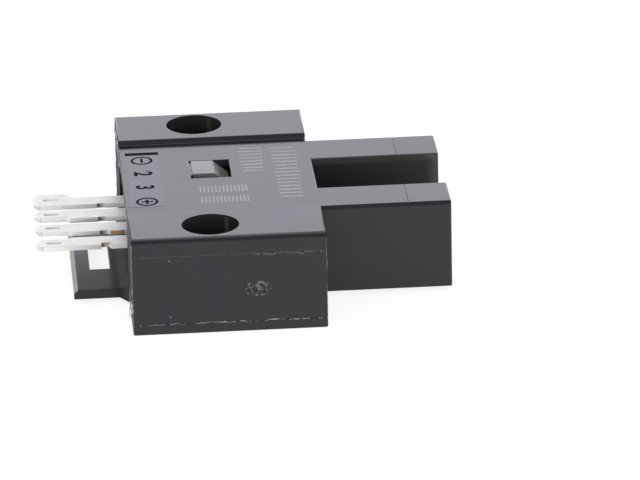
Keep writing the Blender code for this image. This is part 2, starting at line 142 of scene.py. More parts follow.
def add_node(tree, kind, inputs=None, **settings):
    """Add a node, set its properties, link or set its inputs by name or number, and return its outputs."""
    node = tree.nodes.new(kind)
    for key, value in settings.items():
        setattr(node, key, value)
    for key, value in (inputs or {}).items():
        if isinstance(value, bpy.types.NodeSocket):
            tree.links.new(value, node.inputs[key])
        else:
            node.inputs[key].default_value = (*value, 1.0) if node.inputs[key].type == "RGBA" else value
    return node.outputs


def maths(tree, operation, first, second=0.0, clamp=False):
    """One Math node; each value is a socket or a number."""
    return add_node(tree, "ShaderNodeMath", {0: first, 1: second}, operation=operation, use_clamp=clamp)[0]


def vector_maths(tree, operation, first, second):
    """One Vector Math node; what SCALE takes second is a number."""
    key = "Scale" if operation == "SCALE" else 1
    return add_node(tree, "ShaderNodeVectorMath", {0: first, key: second}, operation=operation)[0]


def noise_texture(tree, place, scale, detail):
    """The value and the colour of a noise."""
    inputs = {"Vector": place, "Scale": scale, "Detail": detail}
    return add_node(tree, "ShaderNodeTexNoise", inputs)


def ramp(tree, value, low, high, start=0.0, end=1.0):
    """Map a value between two levels, held at both ends."""
    inputs = {"Value": value, "From Min": low, "From Max": high, "To Min": start, "To Max": end}
    return add_node(tree, "ShaderNodeMapRange", inputs, clamp=True)["Result"]


def blend_colours(tree, factor, first, second):
    """Mix two colours by a mask."""
    inputs = {0: factor, 6: first, 7: second}
    return add_node(tree, "ShaderNodeMix", inputs, data_type="RGBA")[2]


def start_group(name, kind, inputs, outputs):
    """A node group with named sockets; an input is given by its value, or by its type if it has none."""
    tree = bpy.data.node_groups.new(name, kind)
    for label, value in inputs.items():
        typed = value if isinstance(value, str) else SOCKET_TYPES[type(value)]
        socket = tree.interface.new_socket(label, in_out="INPUT", socket_type="NodeSocket" + typed)
        if typed != value:
            socket.default_value = (*value, 1.0) if typed == "Color" else value
    for label, typed in outputs.items():
        tree.interface.new_socket(label, in_out="OUTPUT", socket_type="NodeSocket" + typed)
    return tree, tree.nodes.new("NodeGroupInput").outputs, tree.nodes.new("NodeGroupOutput").inputs


print("helpers ready")

# %% [markdown]
# ## Studio
# The photograph has a pure white surround with hardly a shadow. The object stands in a light tent: white
# near the horizon and behind, dim overhead and toward the camera. Black plastic shows little but
# reflections, so this is what draws it: the tops mirror the white behind, and the rounded front edges
# mirror the dim side and turn dark.

# %% World
TENT_DIM = 0.15
TENT_HORIZON = 0.35
TENT_BACK = 1.52
FILL_LEVEL = 0.7
FILL_LOW_FRONT = 2.7
HORIZON_Z = (0.40, 0.10)
SIDES_X = (0.55, 0.9)
SIDES_LEFT = 0.55
LOW_FRONT_Z = (0.45, 0.30)
LOW_FRONT_Y = (-0.1, -0.5)
COOL_WHITE = (0.94, 0.93, 1.0)
PLAIN_WHITE = (1.0, 1.0, 1.0)

world = bpy.data.worlds.new("light_tent")
bpy.context.scene.world = world
world.use_nodes = True
tree = world.node_tree
tree.nodes.clear()
direction = add_node(tree, "ShaderNodeTexCoord")["Generated"]
axes = add_node(tree, "ShaderNodeSeparateXYZ", {0: direction})
behind = add_node(tree, "ShaderNodeMapRange", {
    "Value": axes["Y"],
    "From Min": -0.5,
    "From Max": 0.6,
    "To Min": TENT_DIM,
    "To Max": TENT_BACK,
}, interpolation_type="SMOOTHSTEP")["Result"]
low_down = ramp(tree, axes["Z"], *HORIZON_Z, 0.0, TENT_HORIZON)
seen_level = maths(tree, "ADD", behind, low_down)
sideways = ramp(tree, maths(tree, "ABSOLUTE", axes["X"]), *SIDES_X, 1.0, SIDES_LEFT)
seen_level = maths(tree, "MULTIPLY", seen_level, sideways)
low_front = maths(tree, "MULTIPLY", ramp(tree, axes["Z"], *LOW_FRONT_Z), ramp(tree, axes["Y"], *LOW_FRONT_Y))
fill_level = maths(tree, "MULTIPLY_ADD", low_front, FILL_LOW_FRONT)
fill_level.node.inputs[2].default_value = FILL_LEVEL
rays = add_node(tree, "ShaderNodeLightPath")
mirrored = maths(tree, "MAXIMUM", rays["Is Glossy Ray"], rays["Is Transmission Ray"])
fill = add_node(tree, "ShaderNodeBackground", {"Color": PLAIN_WHITE, "Strength": fill_level})[0]
tent = add_node(tree, "ShaderNodeBackground", {"Color": COOL_WHITE, "Strength": seen_level})[0]
white = add_node(tree, "ShaderNodeBackground", {"Color": PLAIN_WHITE, "Strength": 1.0})[0]
lit = add_node(tree, "ShaderNodeMixShader", {0: mirrored, 1: fill, 2: tent})[0]
shown = add_node(tree, "ShaderNodeMixShader", {0: rays["Is Camera Ray"], 1: lit, 2: white})[0]
add_node(tree, "ShaderNodeOutputWorld", {"Surface": shown})
print("world is white to the camera, and a tent of", TENT_DIM, "to", TENT_BACK, "in reflections")

# %% Lamps


def softbox(name, place, target, size, power, colour):
    """A rectangular lamp that looks at a point and isn't itself in the picture."""
    data = bpy.data.lights.new(name, "AREA")
    data.shape = "RECTANGLE"
    data.size, data.size_y = size
    data.energy = power
    data.color = colour
    lamp = put_in_scene(name, data)
    lamp.location = place
    lamp.rotation_euler = (Vector(target) - Vector(place)).to_track_quat("-Z", "Y").to_euler()
    lamp.visible_camera = False


softbox("back_softbox", (0.05, 0.75, 0.30), (0.0, 0.0, 0.0), (0.9, 0.42), 0.25, (0.91, 0.89, 1.0))
softbox("left_softbox", (-0.55, -0.12, 0.45), (0.0, 0.0, 0.0), (0.35, 0.35), 0.7, (1.0, 0.99, 0.97))
softbox("right_softbox", (0.60, -0.10, 0.38), (0.0, 0.0, 0.0), (0.35, 0.35), 0.35, (1.0, 1.0, 1.0))
print("three softboxes")

# %% [markdown]
# ## Table
# One large pale sheet carries the part. To the camera and in reflections most of its white is its own, so
# it stays white, and the rest is ordinary matt paper that still takes the soft shadow under the part.

# %% Table
TABLE_SIZE = 6.0
TABLE_DROP = 0.02
TABLE_SEEN = 0.84
TABLE_MIRRORED = 0.55
PAPER = grey(0.82)
SHADED_PAPER = grey(0.25)

table_mesh = bpy.data.meshes.new("table")
half = TABLE_SIZE / 2
corners = [(-half, -half), (half, -half), (half, half), (-half, half)]
table_mesh.from_pydata([(x, y, -TABLE_DROP * MM) for x, y in corners], [], [(0, 1, 2, 3)])
table = put_in_scene("table", table_mesh)

paper = bpy.data.materials.new("white_paper")
paper.use_nodes = True
tree = paper.node_tree
tree.nodes.clear()
rays = add_node(tree, "ShaderNodeLightPath")
seen = maths(tree, "ADD", rays["Is Camera Ray"], rays["Is Glossy Ray"])
seen = maths(tree, "ADD", seen, rays["Is Transmission Ray"], clamp=True)
matt = add_node(tree, "ShaderNodeBsdfDiffuse", {"Color": PAPER})[0]
shaded = add_node(tree, "ShaderNodeBsdfDiffuse", {"Color": SHADED_PAPER})[0]
own_level = ramp(tree, rays["Is Camera Ray"], 0.0, 1.0, TABLE_MIRRORED, TABLE_SEEN)
own_white = add_node(tree, "ShaderNodeEmission", {"Color": PLAIN_WHITE, "Strength": own_level})[0]
glowing = add_node(tree, "ShaderNodeAddShader", {0: shaded, 1: own_white})[0]
surface = add_node(tree, "ShaderNodeMixShader", {0: seen, 1: matt, 2: glowing})[0]
add_node(tree, "ShaderNodeOutputMaterial", {"Surface": surface})
table_mesh.materials.append(paper)
print("table", TABLE_SIZE, "m square")

# %% [markdown]
# ## Finishes that several pieces share
# A finish that more than one material uses is a node group. The first is the skin of a moulded plastic:
# cloudy differences in tone and gloss a few millimetres across, and a fine grain from the mould. The second
# scatters dust. The third masks a box, so that a place on the part can be painted.

# %% Moulded skin group
FINISH = {"Colour": "Color", "Roughness": "Float", "Height": "Float"}
DRAWN_OUT = (0.35, 2.2, 1.6)


def put_out_finish(tree, given, result, cloud_mask, uneven, height):
    """Clouded colour, uneven roughness and height, the three things that a finish gives."""
    clouded = blend_colours(tree, cloud_mask, given["Colour"], given["Cloud Colour"])
    spread = maths(tree, "MULTIPLY", uneven, given["Roughness Spread"])
    tree.links.new(clouded, result["Colour"])
    tree.links.new(maths(tree, "ADD", given["Roughness"], spread), result["Roughness"])
    tree.links.new(height, result["Height"])
    print("group", tree.name)


skin, given, result = start_group("moulded_skin", "ShaderNodeTree", {
    "Place": "Vector",
    "Colour": grey(0.01),
    "Cloud Colour": grey(0.02),
    "Cloud Size": 2.5,
    "Roughness": 0.35,
    "Roughness Spread": 0.08,
    "Grain Size": 0.09,
}, FINISH)
millimetres = vector_maths(skin, "SCALE", given["Place"], 1000.0)
clouds = noise_texture(skin, millimetres, maths(skin, "DIVIDE", 1.0, given["Cloud Size"]), 3.0)[0]
grain = noise_texture(skin, millimetres, maths(skin, "DIVIDE", 1.0, given["Grain Size"]), 2.0)[0]
streaks = noise_texture(skin, vector_maths(skin, "MULTIPLY", millimetres, DRAWN_OUT), 1.6, 4.0)[0]
cloud_mask = ramp(skin, clouds, 0.35, 0.65)
uneven = maths(skin, "SUBTRACT", maths(skin, "ADD", cloud_mask, ramp(skin, streaks, 0.3, 0.7)), 1.0)
height = maths(skin, "ADD", grain, maths(skin, "MULTIPLY", streaks, 0.15))
put_out_finish(skin, given, result, cloud_mask, uneven, height)

# %% Dust group
dusting, given, result = start_group("dusting", "ShaderNodeTree", {
    "Place": "Vector",
    "Spacing": 0.8,
    "Speck Size": 0.05,
    "Amount": 0.3,
}, {"Mask": "Float"})
cells_per_metre = maths(dusting, "DIVIDE", 1000.0, given["Spacing"])
cells = add_node(dusting, "ShaderNodeTexVoronoi", {"Vector": given["Place"], "Scale": cells_per_metre})
reach = maths(dusting, "DIVIDE", given["Speck Size"], given["Spacing"])
near = maths(dusting, "LESS_THAN", cells["Distance"], reach)
chance = add_node(dusting, "ShaderNodeSeparateColor", {0: cells["Color"]})[0]
chosen = maths(dusting, "LESS_THAN", chance, given["Amount"])
dusting.links.new(maths(dusting, "MULTIPLY", near, chosen), result["Mask"])
print("group", dusting.name)

# %% Box mask group
box_mask, given, result = start_group("box_mask", "ShaderNodeTree", {
    "Place": "Vector",
    "Low Corner": "Vector",
    "High Corner": "Vector",
    "Feather": 0.00005,
}, {"Mask": "Float"})
above = vector_maths(box_mask, "SUBTRACT", given["Place"], given["Low Corner"])
below = vector_maths(box_mask, "SUBTRACT", given["High Corner"], given["Place"])
inside = vector_maths(box_mask, "MINIMUM", above, below)
depth = add_node(box_mask, "ShaderNodeSeparateXYZ", {0: inside})
nearest = maths(box_mask, "MINIMUM", maths(box_mask, "MINIMUM", depth["X"], depth["Y"]), depth["Z"])
box_mask.links.new(maths(box_mask, "DIVIDE", nearest, given["Feather"], clamp=True), result["Mask"])
print("group", box_mask.name)

# %% [markdown]
# ## Black moulded plastic
# The housing is glass-filled black plastic. Its own colour is nearly black; what the eye reads as grey is
# the white surround mirrored at a low angle. Dust and a smoother, slightly bluer patch behind the signs
# break it up. The patch is part of the mould on the real piece, so it is masked by its place on the body
# and stays there in every view. The other plastics are variations of the same skin, in one table.

# %% Material helpers
DUST_COLOUR = (0.16, 0.155, 0.15)


def start_material(name, **values):
    """A node material, with constant values set on the shader's own sockets."""
    material = bpy.data.materials.new(name)
    material.use_nodes = True
    shader = material.node_tree.nodes["Principled BSDF"]
    for label, value in values.items():
        shader.inputs[label.replace("_", " ")].default_value = value
    return material, material.node_tree, shader


def object_place(tree):
    """The point on the piece, in metres."""
    return add_node(tree, "ShaderNodeTexCoord")["Object"]


def use_group(tree, group, inputs):
    """Place a node group in a material."""
    return add_node(tree, "ShaderNodeGroup", inputs, node_tree=group)


def use_finish(tree, shader, colour, finish, grain_depth):
    """Feed a colour and a finish's roughness and relief, given in millimetres, to the shader."""
    tree.links.new(colour, shader.inputs["Base Color"])
    tree.links.new(finish["Roughness"], shader.inputs["Roughness"])
    inputs = {"Height": finish["Height"], "Distance": grain_depth * MM, "Strength": 1.0}
    tree.links.new(add_node(tree, "ShaderNodeBump", inputs)[0], shader.inputs["Normal"])


def plastic(name, colour, cloud, roughness, spread, grain_size, grain_depth, dust, ior=1.5, cloud_size=2.5):
    """Moulded plastic with clouds, grain and a little dust."""
    material, tree, shader = start_material(name, IOR=ior)
    place = object_place(tree)
    moulded = use_group(tree, skin, {
        "Place": place,
        "Colour": colour,
        "Cloud Colour": cloud,
        "Cloud Size": cloud_size,
        "Roughness": roughness,
        "Roughness Spread": spread,
        "Grain Size": grain_size,
    })
    specks = use_group(tree, dusting, {"Place": place, "Amount": dust})["Mask"]
    dusty = blend_colours(tree, specks, moulded["Colour"], DUST_COLOUR)
    use_finish(tree, shader, dusty, moulded, grain_depth)
    return material


print("helpers for plastics, dust", DUST_COLOUR)

# %% Painting helpers


def recolour(material, mask, colour):
    """Put a colour over a material's own where a mask says so."""
    tree = material.node_tree
    socket = tree.nodes["Principled BSDF"].inputs["Base Color"]
    tree.links.new(blend_colours(tree, mask, socket.links[0].from_socket, colour), socket)


def mask_box(tree, low, high, feather):
    """The mask of a box given in part millimetres."""
    return use_group(tree, box_mask, {
        "Place": object_place(tree),
        "Low Corner": at(*low),
        "High Corner": at(*high),
        "Feather": feather * MM,
    })["Mask"]


def paint_boxes(material, boxes, colour, feather=0.02, fade=None):
    """Change a material's colour inside boxes, fading from full to none between two X."""
    tree = material.node_tree
    total = 0.0
    for low, high in boxes:
        total = maths(tree, "MAXIMUM", total, mask_box(tree, low, high, feather))
    if fade:
        along = add_node(tree, "ShaderNodeSeparateXYZ", {0: object_place(tree)})["X"]
        full, none = (at(x, 0.0, 0.0).x for x in fade)
        total = maths(tree, "MULTIPLY", total, ramp(tree, along, full, none, 1.0, 0.0))
    recolour(material, total, colour)


print("helpers for painted places")

# %% Plastics
# colour, its clouds, roughness, its spread, grain size and depth, dust, then IOR and cloud size
PLASTICS = {
    "housing_black": ((0.018, 0.015, 0.0165), (0.016, 0.0152, 0.0205), 0.15, 0.04, 0.09, 0.0006, 0.1),
    "cover_black": ((0.006, 0.006, 0.007), (0.009, 0.009, 0.01), 0.4, 0.05, 0.06, 0.002, 0.1),
    "flash_grey": ((0.09, 0.09, 0.094), grey(0.24), 0.5, 0.1, 0.05, 0.003, 0.2, 1.5, 0.4),
    "flash_pale": ((0.16, 0.16, 0.165), grey(0.5), 0.55, 0.1, 0.05, 0.003, 0.2, 1.5, 0.6),
    "flash_dull": (grey(0.1), grey(0.34), 0.6, 0.1, 0.05, 0.003, 0.2, 1.5, 0.35),
    "scar_grey": ((0.004, 0.004, 0.005), (0.02, 0.02, 0.021), 0.5, 0.12, 0.05, 0.008, 0.3, 1.5, 0.2),
    "mark_dark": ((0.004, 0.004, 0.005), (0.007, 0.007, 0.009), 0.85, 0.05, 0.05, 0.004, 0.05, 1.2),
    "mark_pale": ((0.27, 0.27, 0.275), (0.33, 0.33, 0.335), 0.5, 0.1, 0.05, 0.004, 0.1),
    "light_guide": ((0.142, 0.142, 0.147), (0.20, 0.20, 0.205), 0.24, 0.04, 0.12, 0.001, 0.05),
    "window_infrared": ((0.02, 0.02, 0.022), (0.025, 0.025, 0.027), 0.12, 0.03, 0.2, 0.0008, 0.2, 1.55),
    "emitter_blue": ((0.07, 0.10, 0.20), (0.06, 0.085, 0.17), 0.15, 0.04, 0.3, 0.001, 0.05),
    "receiver_black": ((0.012, 0.010, 0.016), (0.015, 0.013, 0.02), 0.15, 0.04, 0.3, 0.001, 0.05),
    "led_orange": ((0.55, 0.09, 0.03), (0.50, 0.075, 0.025), 0.2, 0.04, 0.2, 0.001, 0.05),
    "chip_black": ((0.02, 0.02, 0.022), (0.028, 0.028, 0.03), 0.5, 0.08, 0.03, 0.003, 0.05),
    "capacitor_brown": ((0.32, 0.21, 0.11), (0.27, 0.17, 0.09), 0.45, 0.08, 0.05, 0.002, 0.05),
    "board_green": ((0.03, 0.14, 0.06), (0.025, 0.11, 0.05), 0.3, 0.06, 0.08, 0.002, 0.05),
}
TORN_SPECKS = grey(0.11)

finishes = {name: plastic(name, *values) for name, values in PLASTICS.items()}
housing_black = finishes["housing_black"]
scar_tree = finishes["scar_grey"].node_tree
torn = noise_texture(scar_tree, object_place(scar_tree), 7000.0, 2.0)[0]
recolour(finishes["scar_grey"], ramp(scar_tree, torn, 0.53, 0.60), TORN_SPECKS)
print(len(finishes), "plastics")

# %% Label patch on the housing
PATCH_X = (0.30, 2.38)
PATCH_Y = (-4.47, 4.55)
PATCH_COLOUR = (0.034, 0.039, 0.060)
PATCH_GLOSS = 0.08
# painted sheen: a cloudy bluish tint for the cool cast that the flat tops mirror
TOP_PAINTED_SHEEN = (0.012, 0.018, 0.032)
# two corners, feather, roughness added
MATT_PLACES = (
    ((-0.04, -HALF_WIDTH - 1.0, -1.0), (0.04, HALF_WIDTH + 1.0, FLANGE_TOP + 1.0), 0.02, 0.5),
    ((-3.05, -HALF_WIDTH, -1.0), (-0.04, HALF_WIDTH, 2.6), 0.02, 0.3),
    ((-1.1, -HALF_WIDTH, -1.0), (0.5, HALF_WIDTH, 2.8), 0.4, 0.25),
)

tree = housing_black.node_tree
# Painted sheen: only the flat tops of the body and the flanges get a cloudy bluish tint.
tops = 0.0
for level, reach in ((BODY_TOP, ARM_SIDE - 0.20), (FLANGE_TOP, HALF_WIDTH)):
    flat = mask_box(tree, (-0.5, -reach, level - 0.01), (FORK_TIP + 0.5, reach, level + 0.05), 0.008)
    tops = maths(tree, "MAXIMUM", tops, flat)
painted_sheen = ramp(tree, noise_texture(tree, object_place(tree), 330.0, 2.0)[0], 0.42, 0.62)
recolour(housing_black, maths(tree, "MULTIPLY", tops, painted_sheen), TOP_PAINTED_SHEEN)
patch_low = (PATCH_X[0], PATCH_Y[0], BODY_TOP - 0.05)
patch = mask_box(tree, patch_low, (PATCH_X[1], PATCH_Y[1], BODY_TOP + 0.05), 0.05)
recolour(housing_black, maths(tree, "MULTIPLY", patch, 0.8), PATCH_COLOUR)
roughness = tree.nodes["Principled BSDF"].inputs["Roughness"]
rougher = maths(tree, "SUBTRACT", roughness.links[0].from_socket, maths(tree, "MULTIPLY", patch, PATCH_GLOSS))
for low, high, feather, extra in MATT_PLACES:
    matt = maths(tree, "MULTIPLY", mask_box(tree, low, high, feather), extra)
    rougher = maths(tree, "ADD", rougher, matt)
tree.links.new(rougher, roughness)
print("label patch", PATCH_X, PATCH_Y, "and", len(MATT_PLACES), "matt places")

# %% [markdown]
# ## Mesh helpers
# Two ways of getting a mesh are used again and again: a prism swept from an outline, for cutters and thin
# signs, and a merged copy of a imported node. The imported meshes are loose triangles, so a copy is welded and
# its flat faces joined before it is cut or bevelled.

# %% Outline helpers


def new_piece(shape, name, material, smooth_angle=None):
    """Make an object at the origin from a bmesh."""
    mesh = bpy.data.meshes.new(name)
    shape.to_mesh(mesh)
    shape.free()
    piece = put_in_scene(name, mesh)
    if material:
        mesh.materials.append(material)
    if smooth_angle is not None:
        smooth(piece, smooth_angle)
    return piece


def smooth(piece, angle):
    """Smooth shading with sharp edges above an angle in degrees, and flat faces kept flat."""
    piece.data.shade_smooth()
    piece.data.set_sharp_from_angle(angle=math.radians(angle))
    weighted = piece.modifiers.new("even_shading", "WEIGHTED_NORMAL")
    weighted.keep_sharp = True


def add_prism(shape, outline, low, high, place):
    """Add a closed prism to a bmesh: an outline swept from one level to another."""
    rims = [[shape.verts.new(place(u, v, level)) for u, v in outline] for level in (low, high)]
    for rim in rims:
        shape.faces.new(rim)
    for here in range(len(outline)):
        there = (here + 1) % len(outline)
        shape.faces.new((rims[0][here], rims[0][there], rims[1][there], rims[1][here]))


def rounded_rectangle(low, high, radius, steps=5):
    """Outline of a rectangle with round corners, from two corner points."""
    points = []
    centres = [
        (high[0] - radius, high[1] - radius, 0),
        (low[0] + radius, high[1] - radius, 90),
        (low[0] + radius, low[1] + radius, 180),
        (high[0] - radius, low[1] + radius, 270),
    ]
    for u, v, start in centres:
        for step in range(steps + 1):
            angle = math.radians(start + 90 * step / steps)
            points.append((u + radius * math.cos(angle), v + radius * math.sin(angle)))
    return points


def circle(centre, radii, steps=48):
    """Outline of a circle or an ellipse."""
    turns = [2 * math.pi * step / steps for step in range(steps)]
    return [(centre[0] + radii[0] * math.cos(turn), centre[1] + radii[1] * math.sin(turn)) for turn in turns]


print("outline helpers ready")

# %% Piece helpers


def merged_copy(node, name, material=None):
    """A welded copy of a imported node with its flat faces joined."""
    shape = bmesh.new()
    shape.from_mesh(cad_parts[node].data)
    bmesh.ops.remove_doubles(shape, verts=shape.verts, dist=0.0005 * MM)
    bmesh.ops.dissolve_limit(shape, angle_limit=math.radians(0.5), verts=shape.verts, edges=shape.edges)
    piece = new_piece(shape, name, material)
    stored_normals = piece.data.attributes.get("custom_normal")
    if stored_normals:
        piece.data.attributes.remove(stored_normals)
    return piece


def evaluated_mesh(item):
    """The mesh that an object has when its modifiers have run."""
    return bpy.data.meshes.new_from_object(item.evaluated_get(bpy.context.evaluated_depsgraph_get()))


def bake_modifiers(piece):
    """Turn a piece with modifiers into a plain mesh."""
    mesh = evaluated_mesh(piece)
    mesh.name = piece.name
    piece.modifiers.clear()
    piece.data = mesh
    return piece


def cut_away(piece, cutters):
    """Subtract closed shapes from a piece and delete them."""
    for cutter in cutters:
        modifier = piece.modifiers.new(cutter.name, "BOOLEAN")
        modifier.operation = "DIFFERENCE"
        modifier.solver = "EXACT"
        modifier.object = cutter
    bake_modifiers(piece)
    for cutter in cutters:
        bpy.data.objects.remove(cutter, do_unlink=True)


def open_edges(piece):
    """How many edges of a mesh don't join exactly two faces."""
    shape = bmesh.new()
    shape.from_mesh(piece.data)
    count = sum(1 for edge in shape.edges if len(edge.link_faces) != 2)
    shape.free()
    return count


def outward(shape):
    """Turn the faces of a closed bmesh outwards."""
    bmesh.ops.recalc_face_normals(shape, faces=shape.faces)
    return shape


def round_edges(piece, width):
    """Give a piece small round edges and even shading."""
    bevel = piece.modifiers.new("round_edges", "BEVEL")
    bevel.width = width * MM
    bevel.segments = 2
    bevel.angle_limit = math.radians(35)
    bake_modifiers(piece)
    smooth(piece, 40)


def attach(piece, node=None):
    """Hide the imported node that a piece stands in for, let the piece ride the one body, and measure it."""
    if node:
        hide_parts(node)
    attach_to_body(piece, "root")
    print(piece.name, len(piece.data.polygons), "faces,", open_edges(piece), "open edges")


print("piece helpers ready")

# %% [markdown]
# ## Housing
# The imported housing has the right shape, so the dressed one is a copy of it with the fine moulding detail
# cut in: a line across both arm tops that marks the beam, and a shallow panel in each flange's outer face
# where a sliding core of the mould closed. The long top edges are rounder than the rest; each gets a cutter
# shaped like the corner that is missing. Cutting real grooves, and not painting them, keeps them in every
# view and in the mesh files.

# %% Cutter helpers
CLEAR = 0.2


def along_x(y, z, x):
    """Place for outlines drawn in YZ and swept along X; those swept along Z need only at()."""
    return at(x, y, z)


def along_y(x, z, y):
    """Place for outlines drawn in XZ and swept along Y."""
    return at(x, y, z)


def rounding(corner, facing, radius, steps=6):
    """Outline of what a rounded edge lacks: the corner outside an arc."""
    (u, v), (out_u, out_v) = corner, facing
    outline = [(u + out_u * CLEAR, v - out_v * radius)]
    for step in range(steps + 1):
        angle = math.pi / 2 * step / steps
        outline.append((
            u - out_u * radius * (1 - math.cos(angle)),
            v - out_v * radius * (1 - math.sin(angle)),
        ))
    return outline + [(u - out_u * radius, v + out_v * CLEAR), (u + out_u * CLEAR, v + out_v * CLEAR)]


def chamfer(corner, facing, size):
    """Outline of what a chamfered edge lacks."""
    (u, v), (out_u, out_v) = corner, facing
    far = size + CLEAR
    return [
        (u - out_u * far, v + out_v * CLEAR),
        (u + out_u * CLEAR, v - out_v * far),
        (u + out_u * CLEAR, v + out_v * CLEAR),
    ]


def prism_piece(name, prisms, material=None, smooth_angle=None):
    """One mesh from several prisms that don't touch each other: a cutter, or a piece with a material."""
    shape = bmesh.new()
    for outline, low, high, place in prisms:
        add_prism(shape, outline, low, high, place)
    return new_piece(outward(shape), name, material, smooth_angle)


print("cutter helpers ready")

# %% Engraved details
AXIS_LINE_X = 16.82
AXIS_LINE_WIDTH = 0.09
AXIS_LINE_DEPTH = 0.04
PANEL_X = (0.08, 11.42)
PANEL_Z = (0.60, 4.91)
PANEL_CORNER = 0.25
PANEL_DEPTH = 0.03
EJECTOR_X = (1.35, 9.6)
EJECTOR_INSET = 2.2
EJECTOR_RADIUS = 0.55
EJECTOR_DEPTH = 0.04
BORDER_WIDTH = 0.05
BORDER_DEPTH = 0.02
RECESS_Y = 5.2
RECESS_Z = (2.5, 5.3)
RECESS_DEPTH = 0.4
RECESS_CORNER = 0.15

half_line = AXIS_LINE_WIDTH / 2
axis_groove = [
    (AXIS_LINE_X - half_line, BODY_TOP),
    (AXIS_LINE_X - half_line, BODY_TOP + CLEAR),
    (AXIS_LINE_X + half_line, BODY_TOP + CLEAR),
    (AXIS_LINE_X + half_line, BODY_TOP),
    (AXIS_LINE_X, BODY_TOP - AXIS_LINE_DEPTH),
]
panel = rounded_rectangle((PANEL_X[0], PANEL_Z[0]), (PANEL_X[1], PANEL_Z[1]), PANEL_CORNER)
engraved = []
border = []
for corner_x, corner_y in ((0.06, -1), (PATCH_X[1], -1), (PATCH_X[1], 1), (0.06, 1)):
    border.append((corner_x, PATCH_Y[0] + corner_y * BORDER_WIDTH / 2))
engraved.append((border, BODY_TOP - BORDER_DEPTH, BODY_TOP + CLEAR, at))
recess = rounded_rectangle((-RECESS_Y, RECESS_Z[0]), (RECESS_Y, RECESS_Z[1]), RECESS_CORNER)
engraved.append((recess, -CLEAR, RECESS_DEPTH, along_x))
for side in (-1, 1):
    across_arm = sorted((side * (SLOT_SIDE - CLEAR), side * (ARM_SIDE + CLEAR)))
    engraved.append((axis_groove, *across_arm, along_y))
    into_flange = sorted((side * (HALF_WIDTH - PANEL_DEPTH), side * (HALF_WIDTH + CLEAR)))
    engraved.append((panel, *into_flange, along_y))
    for x in EJECTOR_X:
        pin = circle((x, side * (HALF_WIDTH - EJECTOR_INSET)), (EJECTOR_RADIUS, EJECTOR_RADIUS), 24)
        engraved.append((pin, -CLEAR, EJECTOR_DEPTH, at))
print(len(engraved), "engraved details")

# %% Long rounded edges
ARM_CHAMFER = 0.20
TIP_EDGE = 0.2
FLANGE_OUTER_EDGE = 0.34
FLANGE_INNER_EDGE = 0.12
FLANGE_INNER = 6.2
HAIR = 0.002

long_edges = []
upright_edges = []
for side in (-1, 1):
    arm = chamfer((side * ARM_SIDE, BODY_TOP), (side, 1), ARM_CHAMFER)
    outer = rounding((side * HALF_WIDTH, FLANGE_TOP), (side, 1), FLANGE_OUTER_EDGE)
    long_edges.append((arm, BODY_LENGTH + HAIR, FORK_TIP + CLEAR, along_x))
    long_edges.append((outer, -CLEAR, BODY_LENGTH + CLEAR, along_x))
    tip = rounding((FORK_TIP, side * ARM_SIDE), (1, side), TIP_EDGE)
    upright_edges.append((tip, -CLEAR, BODY_TOP + CLEAR, at))

inner = rounding((FLANGE_INNER, FLANGE_TOP), (-1, 1), FLANGE_INNER_EDGE)
long_edges.append((inner, -CLEAR, BODY_LENGTH + CLEAR, along_x))

housing = merged_copy("housing", "dressed_housing", housing_black)
cut_away(housing, [
    prism_piece("engraving", engraved),
    prism_piece("long_edges", long_edges),
    prism_piece("upright_edges", upright_edges),
])
smooth(housing, 35)
attach(housing, "housing")

# %% [markdown]
# ## Signs on the top
# A real switch has its terminal signs pressed into the mould as dull, dark figures that stop the surface
# from mirroring the white behind. Here the two outer ones are the usual polarity signs and the two between
# are plain numbers. Pale ticks stand where other models carry printed matter. All of them are thin closed
# slabs, so their edges stay crisp at any distance.

# %% Sign helpers
SIGN_DEPTH = 0.02
SIGN_RISE = 0.008
SIGN_X = 1.32
SIGN_RADIUS = 0.67
SIGN_REACH = 0.36
STROKE = 0.145
POLARITY_SIGNS = ((3.42, False), (-3.62, True))
DIGITS = (("2", 1.15), ("3", -1.15))
BAR_X = (0.35, 2.38)
BAR_Y = (4.36, 4.80)
DIGIT_HEIGHT = 1.12

SIGN_LOW = BODY_TOP - SIGN_DEPTH
SIGN_HIGH = BODY_TOP + SIGN_RISE


def add_slab(shape, low, high):
    """A thin rectangular slab on the body's top."""
    add_prism(shape, rounded_rectangle(low, high, 0.04, 3), SIGN_LOW, SIGN_HIGH, at)


def add_ring(shape, centre, outer, inner, steps=48):
    """A thin flat ring on the body's top."""
    loops = []
    for radius, level in ((outer, SIGN_LOW), (outer, SIGN_HIGH), (inner, SIGN_HIGH), (inner, SIGN_LOW)):
        loops.append([shape.verts.new(at(u, v, level)) for u, v in circle(centre, (radius, radius), steps)])
    for loop, following in zip(loops, loops[1:] + loops[:1]):
        for here in range(steps):
            there = (here + 1) % steps
            shape.faces.new((loop[here], loop[there], following[there], following[here]))


def add_digit(shape, digit, centre, height):
    """A number that reads toward the viewer's side, as the photograph's signs do."""
    text = bpy.data.curves.new("digit", "FONT")
    text.body = digit
    text.offset = 0.022
    text.extrude = 0.5
    holder = put_in_scene("digit", text)
    mesh = evaluated_mesh(holder)
    bpy.data.objects.remove(holder, do_unlink=True)
    corners = [[f(v.co[axis] for v in mesh.vertices) for axis in range(3)] for f in (min, max)]
    low, high = Vector(corners[0]), Vector(corners[1])
    scale = height / (high.y - low.y)
    middle = (low + high) / 2
    for vertex in mesh.vertices:
        across, up, depth = vertex.co - middle
        level = SIGN_HIGH if depth > 0 else SIGN_LOW
        vertex.co = at(centre[0] + up * scale, centre[1] - across * scale, level)
    shape.from_mesh(mesh)
    bpy.data.meshes.remove(mesh)


print("sign helpers ready")

